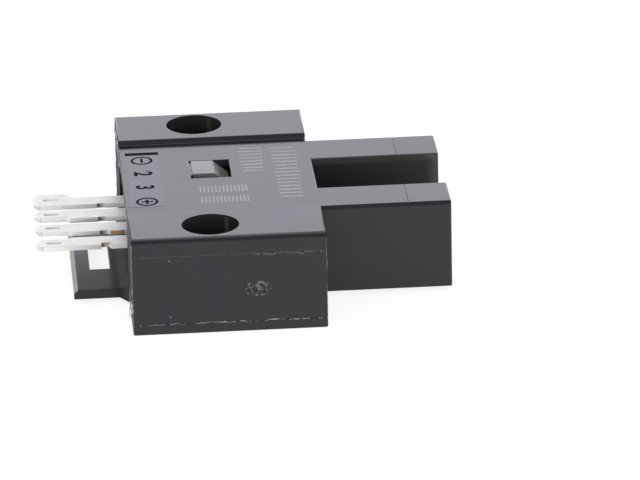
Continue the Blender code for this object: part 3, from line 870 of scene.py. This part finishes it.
# %% Dark signs
shape = bmesh.new()
add_slab(shape, (BAR_X[0], BAR_Y[0]), (BAR_X[1], BAR_Y[1]))
half_stroke = STROKE / 2
for sign_y, upright in POLARITY_SIGNS:
    add_ring(shape, (SIGN_X, sign_y), SIGN_RADIUS, SIGN_RADIUS - STROKE)
    strokes = [(half_stroke, SIGN_REACH)]
    if upright:
        strokes.append((SIGN_REACH, half_stroke))
    for across, along in strokes:
        add_slab(shape, (SIGN_X - across, sign_y - along), (SIGN_X + across, sign_y + along))
for digit, digit_y in DIGITS:
    add_digit(shape, digit, (SIGN_X, digit_y), DIGIT_HEIGHT)
bmesh.ops.remove_doubles(shape, verts=shape.verts, dist=0.0002 * MM)
attach(new_piece(outward(shape), "dark_signs", finishes["mark_dark"]))

# %% [markdown]
# ## Geometry trees
# Three things on this part are repeats with small differences: printed ticks, the ragged flash that a worn
# mould leaves along its joints, and dust. Each is a small geometry tree with named inputs, run once on a
# helper mesh and kept as a plain mesh.

# %% Tree helpers


def put_out_pieces(tree, points, rotation, scale, template, given, result):
    """Copies of a template object on points, as real geometry with its material."""
    inputs = {"Points": points, "Instance": template, "Scale": scale}
    if rotation:
        inputs["Rotation"] = rotation
    placed = add_node(tree, "GeometryNodeInstanceOnPoints", inputs)[0]
    real = add_node(tree, "GeometryNodeRealizeInstances", {0: placed})[0]
    put_out_geometry(tree, real, given, result)


def put_out_geometry(tree, geometry, given, result):
    """Set the material, and end the tree."""
    inputs = {"Geometry": geometry, "Material": given["Material"]}
    tree.links.new(add_node(tree, "GeometryNodeSetMaterial", inputs)[0], result["Geometry"])
    print("tree", tree.name)


def grow(name, mesh, tree, values):
    """Run a geometry tree on a helper mesh, keep the result as a plain piece and attach it."""
    piece = put_in_scene(name, mesh)
    modifier = piece.modifiers.new("grow", "NODES")
    modifier.node_group = tree
    for item in tree.interface.items_tree:
        if item.item_type == "SOCKET" and item.name in values:
            modifier[item.identifier] = values[item.name]
    attach(bake_modifiers(piece))


def line_mesh(name, points, closed=False):
    """A helper mesh of edges through points."""
    mesh = bpy.data.meshes.new(name)
    edges = [(here, here + 1) for here in range(len(points) - 1)]
    if closed:
        edges.append((len(points) - 1, 0))
    mesh.from_pydata(points, edges, [])
    return mesh


print("tree helpers ready")

# %% Tick tree
ticks, given, result = start_group("tick_row", "GeometryNodeTree", {
    "Geometry": "Geometry",
    "Stroke": "Object",
    "Count": 10,
    "Start": "Vector",
    "Step": "Vector",
    "Shortest": 0.6,
    "Seed": 1,
    "Material": "Material",
}, {"Geometry": "Geometry"})
row = add_node(ticks, "GeometryNodeMeshLine", {
    "Count": given["Count"],
    "Start Location": given["Start"],
    "Offset": given["Step"],
})[0]
limits = {2: given["Shortest"], 3: 1.0, "Seed": given["Seed"]}
length = add_node(ticks, "FunctionNodeRandomValue", limits)[1]
stretch = add_node(ticks, "ShaderNodeCombineXYZ", {"X": length, "Y": 1.0, "Z": 1.0})[0]
stroke = add_node(ticks, "GeometryNodeObjectInfo", {0: given["Stroke"]})["Geometry"]
put_out_pieces(ticks, row, None, stretch, stroke, given, result)

# %% Pale ticks
# name, start, how many, step, size of a stroke, shortest share, seed
TICK_ROWS = (
    ("long_ticks", (9.97, 4.55, 0.0), 15, (0.0, -0.595, 0.0), (1.6, 0.22), 0.8, 3),
    ("middle_ticks", (7.95, 4.75, 0.0), 8, (0.0, -0.56, 0.0), (1.5, 0.22), 0.8, 5),
    ("fine_ticks_rear", (4.6, -2.0, 0.0), 13, (0.23, 0.0, 0.0), (0.11, 1.1), 0.95, 7),
    ("fine_ticks_front", (4.6, -3.75, 0.0), 13, (0.23, 0.0, 0.0), (0.11, 1.1), 0.95, 9),
)


def around_origin(u, v, level):
    """Place for a template, which is drawn around the origin."""
    return Vector((u, v, level)) * MM


def tick_stroke(size):
    """One rounded stroke around the origin, the template of a row."""
    high = (size[0] / 2, size[1] / 2)
    outline = rounded_rectangle((-high[0], -high[1]), high, min(high) * 0.8, 3)
    return prism_piece("tick_stroke", [(outline, SIGN_LOW, SIGN_HIGH, around_origin)])


for name, start, count, step, size, shortest, seed in TICK_ROWS:
    template = tick_stroke(size)
    grow(name, bpy.data.meshes.new(name), ticks, {
        "Stroke": template,
        "Count": count,
        "Start": at(*start),
        "Step": Vector(step) * MM,
        "Shortest": shortest,
        "Seed": seed,
        "Material": finishes["mark_pale"],
    })
    bpy.data.objects.remove(template, do_unlink=True)

# %% [markdown]
# ## Flash and witness lines
# Where two halves of the mould meet, a little plastic creeps into the joint and stays as a thin ragged fin.
# On this part it runs along the upper and lower border of each flange's side and along the upright edges,
# pale where it was rubbed. The tree takes a line, shakes it, and sweeps a section that swells and fades
# along it.

# %% Flash tree
SECTION_STEP = 0.045
SHAKEN = (0.6, 0.0, 1.0)

flash, given, result = start_group("ragged_flash", "GeometryNodeTree", {
    "Geometry": "Geometry",
    "Radius": 0.00002,
    "Shake": 0.00003,
    "Gaps": 0.45,
    "Seed": "Vector",
    "Material": "Material",
}, {"Geometry": "Geometry"})
line = add_node(flash, "GeometryNodeMeshToCurve", {"Mesh": given["Geometry"]})[0]
spaced = {"Curve": line, "Length": SECTION_STEP * MM}
line = add_node(flash, "GeometryNodeResampleCurve", spaced, mode="LENGTH")[0]
here = add_node(flash, "GeometryNodeInputPosition")[0]
moved = vector_maths(flash, "ADD", here, given["Seed"])
wobble = vector_maths(flash, "SUBTRACT", noise_texture(flash, moved, 5200.0, 2.0)["Color"], (0.5, 0.5, 0.5))
push = vector_maths(flash, "SCALE", vector_maths(flash, "MULTIPLY", wobble, SHAKEN), given["Shake"])
line = add_node(flash, "GeometryNodeSetPosition", {"Geometry": line, "Offset": push})[0]
swell = ramp(flash, noise_texture(flash, moved, 1400.0, 3.0)[0], given["Gaps"], 0.75, 0.12, 1.0)
radius = maths(flash, "MULTIPLY", swell, maths(flash, "MULTIPLY", given["Radius"], 1000.0))
section = add_node(flash, "GeometryNodeCurvePrimitiveCircle", {"Resolution": 5, "Radius": MM})[0]
swept = {"Curve": line, "Profile Curve": section, "Scale": radius, "Fill Caps": True}
put_out_geometry(flash, add_node(flash, "GeometryNodeCurveToMesh", swept)[0], given, result)

# %% Flash lines
THIN = 0.03
THICK = 0.085
LEFT = 0.05
RIGHT = BODY_LENGTH - 0.05
UPPER = PANEL_Z[1] - 0.012
LOWER = PANEL_Z[0] + 0.014
FRAYED_FROM = 7.2
FRAYED = UPPER - 0.05
LEFT_EDGE = 0.022
RIGHT_EDGE = BODY_LENGTH - 0.022
EDGE_TOP = FLANGE_TOP - FLANGE_OUTER_EDGE
TORN_Y = 0.10 - HALF_WIDTH
SEED_STEP = Vector((0.013, 0.021, 0.017))
# part, start and end in XZ, how deep it sits, radius, shake, gaps, finish
SIDE_LINES = (
    ("upper", (LEFT, UPPER), (FRAYED_FROM, UPPER), THIN, 0.022, 0.05, 0.34, "flash_grey"),
    ("frayed", (FRAYED_FROM, FRAYED), (RIGHT, FRAYED), THIN, 0.024, 0.60, 0.05, "flash_grey"),
    ("lower", (LEFT, LOWER), (RIGHT, LOWER), THIN, 0.030, 0.40, 0.26, "flash_pale"),
    ("left", (LEFT_EDGE, 0.1), (LEFT_EDGE, EDGE_TOP), THICK, 0.080, 0.22, 0.30, "flash_dull"),
    ("edge", (LEFT_EDGE, 0.1), (LEFT_EDGE, EDGE_TOP), THIN, 0.028, 0.20, 0.34, "flash_grey"),
    ("right", (RIGHT_EDGE, 0.3), (RIGHT_EDGE, EDGE_TOP), THIN, 0.028, 0.24, 0.33, "flash_grey"),
)

flash_lines = []
for side, name in ((-1, "front"), (1, "rear")):
    for part, start, end, sink, *rest in SIDE_LINES:
        y = side * (HALF_WIDTH - sink)
        flash_lines.append((f"{name}_{part}_flash", (start[0], y, start[1]), (end[0], y, end[1]), *rest))
flash_lines += [
    ("torn_flash", (-0.10, TORN_Y, 1.25), (-0.06, TORN_Y, 2.25), 0.09, 0.25, 0.26, "flash_pale"),
    ("torn_thread", (-0.22, TORN_Y, 0.95), (-0.10, TORN_Y, 3.2), 0.035, 0.20, 0.30, "flash_pale"),
    (
        "front_corner_flash", (-0.02, -HALF_WIDTH + 0.5, FLANGE_TOP - 0.14),
        (-0.02, -FLANGE_INNER, FLANGE_TOP - 0.12), 0.06, 0.22, 0.34, "flash_dull",
    ),
    (
        "body_end_flash", (0.0, -FLANGE_INNER, BODY_TOP - 0.05),
        (0.0, 2.2, BODY_TOP - 0.05), 0.05, 0.25, 0.38, "flash_dull",
    ),
    (
        "body_corner_flash", (-0.02, 2.2, BODY_TOP - 0.06),
        (-0.03, FLANGE_INNER, BODY_TOP - 0.06), 0.11, 0.25, 0.30, "flash_dull",
    ),
    (
        "rear_end_flash", (-0.02, FLANGE_INNER, FLANGE_TOP - 0.20),
        (0.0, HALF_WIDTH - 2.0, FLANGE_TOP - 0.18), 0.12, 0.20, 0.28, "flash_pale",
    ),
]
for number, (name, start, end, radius, shake, gaps, finish) in enumerate(flash_lines):
    grow(name, line_mesh(name, [at(*start), at(*end)]), flash, {
        "Radius": radius * MM,
        "Shake": shake * MM,
        "Gaps": gaps,
        "Seed": SEED_STEP * number,
        "Material": finishes[finish],
    })

# %% Fillet at the foot of the rear step
FOOT_FILLET = 0.16
FOOT_STEPS = 6

foot_outline = [(FLANGE_INNER + 0.01, BODY_TOP - 0.02), (FLANGE_INNER - FOOT_FILLET, BODY_TOP - 0.02)]
for step in range(FOOT_STEPS + 1):
    angle = math.pi / 2 * step / FOOT_STEPS
    back = FLANGE_INNER - FOOT_FILLET * (1 - math.sin(angle))
    foot_outline.append((back, BODY_TOP + FOOT_FILLET * (1 - math.cos(angle))))
foot_outline.append((FLANGE_INNER + 0.01, BODY_TOP + FOOT_FILLET))
foot = [(foot_outline, 0.06, BODY_LENGTH - 0.06, along_x)]
attach(bake_modifiers(prism_piece("step_fillet", foot, housing_black, 40)))

# %% [markdown]
# ## Gate scar
# Plastic enters the mould through a small gate, and where it was torn off the front flange a rough oval is
# left. It is a low, lumpy disc in the panel with a ragged rim. The heights come from a fixed noise, so it
# is the same each time.

# %% Gate scar
SCAR_CENTRE = (7.40, 2.66)
SCAR_RADII = (0.78, 0.50)
SCAR_RINGS = 12
SCAR_STEPS = 56
SCAR_RISE = 0.026
PANEL_FACE = -(HALF_WIDTH - PANEL_DEPTH)


def scar_height(u, v, reach):
    """Height of the torn surface in millimetres, none at the outer edge."""
    lumps = noise.noise(Vector((u * 4.2, v * 4.2, 0.3))) + 0.6 * noise.noise(Vector((u * 11.0, v * 11.0, 5.1)))
    rim = math.exp(-((reach - 0.88) / 0.07) ** 2)
    height = SCAR_RISE * (0.35 + 0.55 * lumps + 0.6 * rim)
    return max(0.0, min(SCAR_RISE, height)) * min(1.0, (1.0 - reach) / 0.06)


shape = bmesh.new()
centre_height = scar_height(0.0, 0.0, 0.0)
middle = shape.verts.new(at(SCAR_CENTRE[0], PANEL_FACE - centre_height, SCAR_CENTRE[1]))
rings = []
for ring in range(1, SCAR_RINGS + 1):
    reach = ring / SCAR_RINGS
    verts = []
    for step in range(SCAR_STEPS):
        turn = 2 * math.pi * step / SCAR_STEPS
        uneven = 1.0 + 0.05 * noise.noise(Vector((math.cos(turn) * 3.0, math.sin(turn) * 3.0, 2.2)))
        u = SCAR_RADII[0] * reach * uneven * math.cos(turn)
        v = SCAR_RADII[1] * reach * uneven * math.sin(turn)
        y = PANEL_FACE - scar_height(u, v, reach)
        verts.append(shape.verts.new(at(SCAR_CENTRE[0] + u, y, SCAR_CENTRE[1] + v)))
    rings.append(verts)
base = [shape.verts.new(vertex.co + Vector((0.0, 0.03 * MM, 0.0))) for vertex in rings[-1]]
rings.append(base)
for step in range(SCAR_STEPS):
    following = (step + 1) % SCAR_STEPS
    shape.faces.new((middle, rings[0][step], rings[0][following]))
    for inner, outer in zip(rings, rings[1:]):
        shape.faces.new((inner[step], outer[step], outer[following], inner[following]))
shape.faces.new(base)
attach(new_piece(outward(shape), "gate_scar", finishes["scar_grey"], 180))

# %% Ragged rim of the scar
rim_outline = circle(SCAR_CENTRE, (SCAR_RADII[0] * 0.93, SCAR_RADII[1] * 0.93), 40)
rim_path = [at(u, PANEL_FACE, v) for u, v in rim_outline]
grow("scar_rim", line_mesh("scar_rim", rim_path, closed=True), flash, {
    "Radius": 0.030 * MM,
    "Shake": 0.12 * MM,
    "Gaps": 0.30,
    "Seed": Vector((0.31, 0.12, 0.05)),
    "Material": finishes["flash_grey"],
})

# %% [markdown]
# ## Dust
# A few specks lie on the sides, as on any part out of a bag. They are tiny flattened lumps, strewn with a
# fixed seed over helper faces just inside the real ones, and only a part of each stands out.

# %% Dust tree
dust, given, result = start_group("strewn_specks", "GeometryNodeTree", {
    "Geometry": "Geometry",
    "Speck": "Object",
    "Density": 100000.0,
    "Smallest": 0.5,
    "Largest": 1.0,
    "Seed": 1,
    "Material": "Material",
}, {"Geometry": "Geometry"})
points = add_node(dust, "GeometryNodeDistributePointsOnFaces", {
    "Mesh": given["Geometry"],
    "Density": given["Density"],
    "Seed": given["Seed"],
})
limits = {2: given["Smallest"], 3: given["Largest"], "Seed": given["Seed"]}
size = add_node(dust, "FunctionNodeRandomValue", limits)[1]
speck = add_node(dust, "GeometryNodeObjectInfo", {0: given["Speck"]})["Geometry"]
put_out_pieces(dust, points["Points"], points["Rotation"], size, speck, given, result)

# %% Dust specks
SPECK_SIZE = 0.022
SPECKS_PER_M2 = 550000.0
DUSTED_FACES = (((0.4, 11.1), PANEL_FACE), ((12.2, FORK_TIP - 0.3), -ARM_SIDE + 0.012))

shape = bmesh.new()
bmesh.ops.create_icosphere(shape, subdivisions=1, radius=SPECK_SIZE * MM)
for vertex in shape.verts:
    vertex.co *= 1.0 + 0.5 * noise.noise(vertex.co * 60000.0)
    vertex.co.z *= 0.6
speck_template = new_piece(shape, "speck", None)

shape = bmesh.new()
for x_range, y in DUSTED_FACES:
    corners = ((x_range[0], 0.8), (x_range[1], 0.8), (x_range[1], 4.6), (x_range[0], 4.6))
    shape.faces.new([shape.verts.new(at(x, y, z)) for x, z in corners])
dusted_mesh = bpy.data.meshes.new("dusted_faces")
shape.to_mesh(dusted_mesh)
shape.free()
grow("dust_specks", dusted_mesh, dust, {
    "Speck": speck_template,
    "Density": SPECKS_PER_M2,
    "Smallest": 0.35,
    "Largest": 1.0,
    "Seed": 11,
    "Material": finishes["flash_grey"],
})
bpy.data.objects.remove(speck_template, do_unlink=True)

# %% [markdown]
# ## Blades
# The terminals are stamped from tin-plated copper alloy strip. Their broad faces are bright with a faint
# grain along the rolling direction, the sheared sides show a darker break, and where the plate was torn the
# copper shows. The tips are coined thinner to find their way into a socket. Each blade is a copy of its
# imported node, cut across near the tip so that the end can be pressed thin, then given small round edges.

# %% Rolled metal group
ROLLED_OUT = (60.0, 1000.0, 1000.0)

rolled, given, result = start_group("rolled_metal", "ShaderNodeTree", {
    "Place": "Vector",
    "Colour": grey(0.6),
    "Cloud Colour": grey(0.5),
    "Grain Size": 0.06,
    "Roughness": 0.4,
    "Roughness Spread": 0.1,
}, FINISH)
drawn = vector_maths(rolled, "MULTIPLY", given["Place"], ROLLED_OUT)
grain = noise_texture(rolled, drawn, maths(rolled, "DIVIDE", 1.0, given["Grain Size"]), 3.0)[0]
clouds = noise_texture(rolled, given["Place"], 900.0, 3.0)[0]
uneven = maths(rolled, "SUBTRACT", maths(rolled, "ADD", grain, clouds), 1.0)
put_out_finish(rolled, given, result, ramp(rolled, clouds, 0.35, 0.65), uneven, grain)

# %% Metal helper
TIN = (0.72, 0.72, 0.70)
TIN_CLOUD = (0.66, 0.66, 0.645)
PAINTED_SIDE_LIGHT = (0.92, 0.92, 0.91)
EYELET_PAINTED_LIGHT = (0.82, 0.80, 0.77)
SHEARED_AND_SHADE = (0.15, 0.135, 0.115)
COPPER = (0.52, 0.30, 0.175)
COPPER_DARKER_AT_ROOT = (0.16, 0.10, 0.06)
TERMINAL_PITCH = 2.3
BLADE_WIDTH = 1.4
NICK = (-1.5, -0.9)
NICK_DEPTH = 0.33


def metal(name, metallic, roughness, grain_size, grain_depth):
    """Tin plate with rolled grain."""
    material, tree, shader = start_material(name, Metallic=metallic)
    finish = use_group(tree, rolled, {
        "Place": object_place(tree),
        "Colour": TIN,
        "Cloud Colour": TIN_CLOUD,
        "Grain Size": grain_size,
        "Roughness": roughness,
    })
    use_finish(tree, shader, finish["Colour"], finish, grain_depth)
    return material


print("metal helper ready")

# %% Tin plate
terminal_tin = metal("terminal_tin", 0.4, 0.45, 0.09, 0.0015)
blade_middles = [(1.5 - number) * TERMINAL_PITCH for number in range(4)]
blade_fronts = [middle - BLADE_WIDTH / 2 for middle in blade_middles]
nick_depths = (0.09, 0.09, 0.12, NICK_DEPTH)
painted_light_sides = []
nick_walls = []
eyelets = []
for middle, front, depth in zip(blade_middles, blade_fronts, nick_depths):
    wall = front + depth
    painted_light_sides.append(((-4.95, middle - 0.8, 2.9), (-1.0, middle + 0.8, 3.295)))
    nick_walls.append(((NICK[0] - 0.06, wall - 0.05, 2.9), (NICK[1] + 0.1, wall + 0.04, 3.285)))
    eyelets.append(((-4.9, middle - 0.42, 2.9), (-3.3, middle + 0.42, 3.292)))
dark_lower_lines = [((-3.4, front - 0.05, 2.95), (NICK[0], front + 0.05, 3.05)) for front in blade_fronts[1:3]]
bare_front = blade_fronts[2]
bare_nick = blade_fronts[3] + NICK_DEPTH
copper_boxes = [
    ((NICK[1] + 0.02, bare_front - 0.05, 2.95), (-0.03, bare_front + 0.04, 3.29)),
    ((NICK[0] + 0.1, bare_nick - 0.09, 3.16), (NICK[1] + 0.1, bare_nick + 0.03, 3.32)),
]
TIN_PAINTS = (
    # painted light: the blade sides lighter, strongest towards the tips
    (painted_light_sides, PAINTED_SIDE_LIGHT, 0.005, (-4.0, -1.0)),
    # the nick walls: a darker sheared break, with painted shade fading across the scooped wall
    (nick_walls, SHEARED_AND_SHADE, 0.02, (NICK[0] + 0.05, NICK[1] - 0.12)),
    # a dark line painted along the lower edge of the front side of the second and third blades
    (dark_lower_lines, SHEARED_AND_SHADE),
    (copper_boxes, COPPER),
    # the bare copper darker towards the body
    (copper_boxes[:1], COPPER_DARKER_AT_ROOT, 0.03, (0.0, -0.35)),
    # painted light: the walls of the eyelets lighter than the tin
    (eyelets, EYELET_PAINTED_LIGHT, 0.01),
)
for paint in TIN_PAINTS:
    paint_boxes(terminal_tin, *paint)
print("tin plate with", len(nick_walls), "sheared nicks and", len(dark_lower_lines), "dark_lower_lines")

# %% Blades
COINED_LENGTH = 0.34
COINED_THINNING = 0.55
COINED_CURVE = 1.6
BLADE_EDGE = 0.035
NARROW_SHANK = 0.18
NEAR = 0.01

for number in range(1, 5):
    node = f"terminal_{number}"
    blade_low, blade_high = node_box(node)
    middle_z = (blade_low.z + blade_high.z) / 2 * MM
    blade = merged_copy(node, f"blade_{number}", terminal_tin)
    shape = bmesh.new()
    shape.from_mesh(blade.data)
    front = blade_fronts[number - 1]
    wall = front + NICK_DEPTH
    for vertex in shape.verts:
        x = vertex.co.x / MM - END_FACE_X
        y = vertex.co.y / MM
        if abs(y - wall) < NEAR and x < 0.0:
            vertex.co.y = (front + nick_depths[number - 1]) * MM
        if number == 1 and abs(y - front - BLADE_WIDTH) < NEAR and x > -4.0:
            vertex.co.y -= NARROW_SHANK * MM
    for share in (0.25, 0.5, 1.0):
        cut = at(blade_low.x + COINED_LENGTH * share, 0.0, 0.0)
        everything = shape.verts[:] + shape.edges[:] + shape.faces[:]
        bmesh.ops.bisect_plane(shape, geom=everything, plane_co=cut, plane_no=(1.0, 0.0, 0.0))
    for vertex in shape.verts:
        from_tip = vertex.co.x / MM - END_FACE_X - blade_low.x
        closeness = max(0.0, 1.0 - from_tip / COINED_LENGTH)
        thickness = 1.0 - COINED_THINNING * closeness ** COINED_CURVE
        vertex.co.z = middle_z + (vertex.co.z - middle_z) * thickness
    shape.to_mesh(blade.data)
    shape.free()
    round_edges(blade, BLADE_EDGE)
    attach(blade, node)

# %% [markdown]
# ## Light guide and windows
# The lamp's light comes up through a milky rod whose top is flat on one side and slopes down on the other.
# The plates that close the slot side of the arms are dark plastic that only lets infrared through. Both get
# small rounded edges that catch the light. Before that, a few places are painted, most of them with painted
# light and shade: the lens slope paler and its front darker, a highlight on the rim of its recess, a paler
# band and a lighter open end on the slot walls, shade on the lug beside the end face, a reflection on the end
# face beside the rear flange, and a plain tone and pale streaks inside the screw holes.

# %% Painted places
WINDOW_LEFT = 4.15
BAND_FROM = 5.12
END_FACE_Z = (2.4, FLANGE_TOP + 0.1)
LUG_BOX = ((-1.1, -5.6, 0.1), (-0.02, 5.6, 2.2))
GUIDE_SLOPE_LIGHT = (0.52, 0.47, 0.41)
GUIDE_FRONT_SHADE = (0.118, 0.117, 0.122)
WINDOW_RIM_HIGHLIGHT = (0.16, 0.16, 0.165)
SLOT_LIT = (0.031, 0.031, 0.032)
SLOT_BAND_LIGHT = (0.035, 0.034, 0.035)
LUG_SHADOW = grey(0.008)
BORE = (0.018, 0.018, 0.0175)
REAR_BORE_HIGHLIGHT = (0.036, 0.036, 0.034)
FRONT_BORE_HIGHLIGHT = (0.060, 0.060, 0.056)


def slot_side_boxes(low_x, low_z, high_z):
    """Thin boxes around both slot sides, from an X to past the fork's tips."""
    return [((low_x, y - 0.06, low_z), (19.4, y + 0.06, high_z)) for y in (-SLOT_SIDE, SLOT_SIDE)]


def end_face_reflection_box(low_y, high_y):
    """A thin box on the end face beside the rear flange, where a painted reflection makes it paler."""
    return [((-0.06, low_y, END_FACE_Z[0]), (0.03, high_y, END_FACE_Z[1]))]


guide_low, guide_high = node_box("indicator_lens")
guide_slope = ((guide_high.x - 0.9, -9.0, 3.0), (guide_high.x + 0.5, 9.0, BODY_TOP - 0.35))
guide_front = ((4.2, guide_low.y - 0.05, 3.0), (6.7, guide_low.y + 0.04, BODY_TOP - 0.04))
window_edge = ((WINDOW_LEFT - 0.09, 2.2, BODY_TOP - 0.06), (WINDOW_LEFT, 3.0, BODY_TOP + 0.05))
bores = [((3.0, y - 1.75, 0.1), (6.6, y + 1.75, 5.92)) for y in (-8.6, 8.6)]
# material, boxes, colour, feather, fade from full to none between two X
PAINTS = (
    # painted light: the slope of the lens paler and warmer than its top
    ("light_guide", [guide_slope], GUIDE_SLOPE_LIGHT, 0.5),
    # painted shade: the front face of the lens darker than its top
    ("light_guide", [guide_front], GUIDE_FRONT_SHADE),
    ("window_infrared", [((11.0, -3.2, -0.1), (19.4, 3.2, 5.3))], SLOT_LIT, 0.02, (19.3, 14.5)),
    # painted highlight along the left rim of the lens recess
    ("housing_black", [window_edge], WINDOW_RIM_HIGHLIGHT, 0.01),
    # painted light: a paler band along the top of both slot walls
    ("housing_black", slot_side_boxes(11.4, BAND_FROM, 5.68), SLOT_BAND_LIGHT),
    ("housing_black", [LUG_BOX], LUG_SHADOW, 0.02, (-0.1, -0.9)),
    # painted reflection: the end face beside the rear flange paler
    ("housing_black", end_face_reflection_box(6.3, 10.4), grey(0.16), 0.6),
    ("housing_black", end_face_reflection_box(4.9, 6.3), grey(0.10), 0.6),
    ("housing_black", slot_side_boxes(18.8, 0.0, BAND_FROM), SLOT_LIT),
    ("housing_black", bores, BORE),
    # painted highlights: a pale upright streak on the wall of each screw hole
    ("housing_black", [((5.62, 8.7, 0.1), (5.98, 10.35, 5.92))], REAR_BORE_HIGHLIGHT, 0.15),
    ("housing_black", [((5.68, -8.5, 0.1), (5.98, -6.85, 5.92))], FRONT_BORE_HIGHLIGHT, 0.15),
)
for name, *paint in PAINTS:
    paint_boxes(finishes[name], *paint)
print(len(PAINTS), "painted places")

# %% Bevelled copies
SEAM_REAR = 2.905
SEAM_SPREAD = 0.04


def bevelled_copy(node, name, slot, width, engraving=None, spread=0.0):
    """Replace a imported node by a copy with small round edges, spread in X and Z where glue fills its seam."""
    piece = merged_copy(node, name, finishes[slot])
    centre = sum(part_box(node), Vector()) / 2
    for vertex in piece.data.vertices:
        vertex.co.x += math.copysign(spread * MM, vertex.co.x - centre.x)
        vertex.co.z += math.copysign(spread * MM, vertex.co.z - centre.z)
    if engraving:
        cut_away(piece, [engraving])
    round_edges(piece, width)
    attach(piece, node)


bevelled_copy("indicator_lens", "milky_lens", "light_guide", 0.03)
seam = rounded_rectangle((WINDOW_LEFT + 0.005, guide_low.y), (WINDOW_LEFT + 0.13, SEAM_REAR), 0.02, 3)
seam_prism = (seam, BODY_TOP - 0.3, BODY_TOP - 0.09, at)
attach(prism_piece("guide_seam", [seam_prism], housing_black))
for node, name in (("emitter_window", "rear_window"), ("receiver_window", "front_window")):
    bevelled_copy(node, name, "window_infrared", 0.012, spread=SEAM_SPREAD)

# %% Base cover
COVER_PINS = ((1.6, 3.6), (1.6, -3.6), (9.4, 3.6), (9.4, -3.6))
PIN_RADII = (0.45, 0.45)
cover_base = node_box("base_cover")[0].z
pin_marks = []
for place in COVER_PINS:
    pin_marks.append((circle(place, PIN_RADII, 24), cover_base - CLEAR, cover_base + 0.04, at))
bevelled_copy("base_cover", "dressed_cover", "cover_black", 0.04, prism_piece("pin_marks", pin_marks))

# %% [markdown]
# ## What is inside
# The board, the two optical devices, their leads and the small chips never show from outside, but they are
# real solids and show when the part is taken apart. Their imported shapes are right, so they stay and only
# get finishes.

# %% Inner finishes
BOARD_CORE = (0.42, 0.36, 0.20)
CAP_MARGIN = 0.05
RESISTORS = ("resistor_1", "resistor_2", "resistor_3")
LEADS = ("emitter_lead_1", "emitter_lead_2", "receiver_lead_1", "receiver_lead_2", "receiver_lead_3")
INNER_FINISHES = {
    "board_green": ("circuit_board",),
    "emitter_blue": ("infrared_emitter",),
    "receiver_black": ("light_receiver",),
    "lead_metal": LEADS,
    "led_orange": ("indicator_led",),
    "chip_black": ("output_transistor", *RESISTORS),
    "capacitor_brown": ("capacitor",),
}


def tinned_ends(material, node, length):
    """Paint the two ends of a chip like tinned caps."""
    low, high = node_box(node)
    along = 0 if high.x - low.x > high.y - low.y else 1
    margin = Vector((CAP_MARGIN, CAP_MARGIN, CAP_MARGIN))
    boxes = []
    for end in (low, high):
        box_low = low - margin
        box_high = high + margin
        box_low[along] = end[along] - length - CAP_MARGIN
        box_high[along] = end[along] + length + CAP_MARGIN
        boxes.append((box_low, box_high))
    paint_boxes(material, boxes, TIN, 0.01)


finishes["lead_metal"] = metal("lead_metal", 1.0, 0.35, 0.05, 0.001)
board_low, board_high = node_box("circuit_board")
board_core = (board_low + Vector((-1.0, -1.0, 0.03)), board_high + Vector((1.0, 1.0, -0.03)))
paint_boxes(finishes["board_green"], [board_core], BOARD_CORE, 0.01)
tinned_ends(finishes["capacitor_brown"], "capacitor", 0.3)
for node in RESISTORS:
    tinned_ends(finishes["chip_black"], node, 0.25)
for name, nodes in INNER_FINISHES.items():
    for node in nodes:
        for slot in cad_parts[node].material_slots:
            slot.material = finishes[name]
print(len(INNER_FINISHES), "inner finishes")
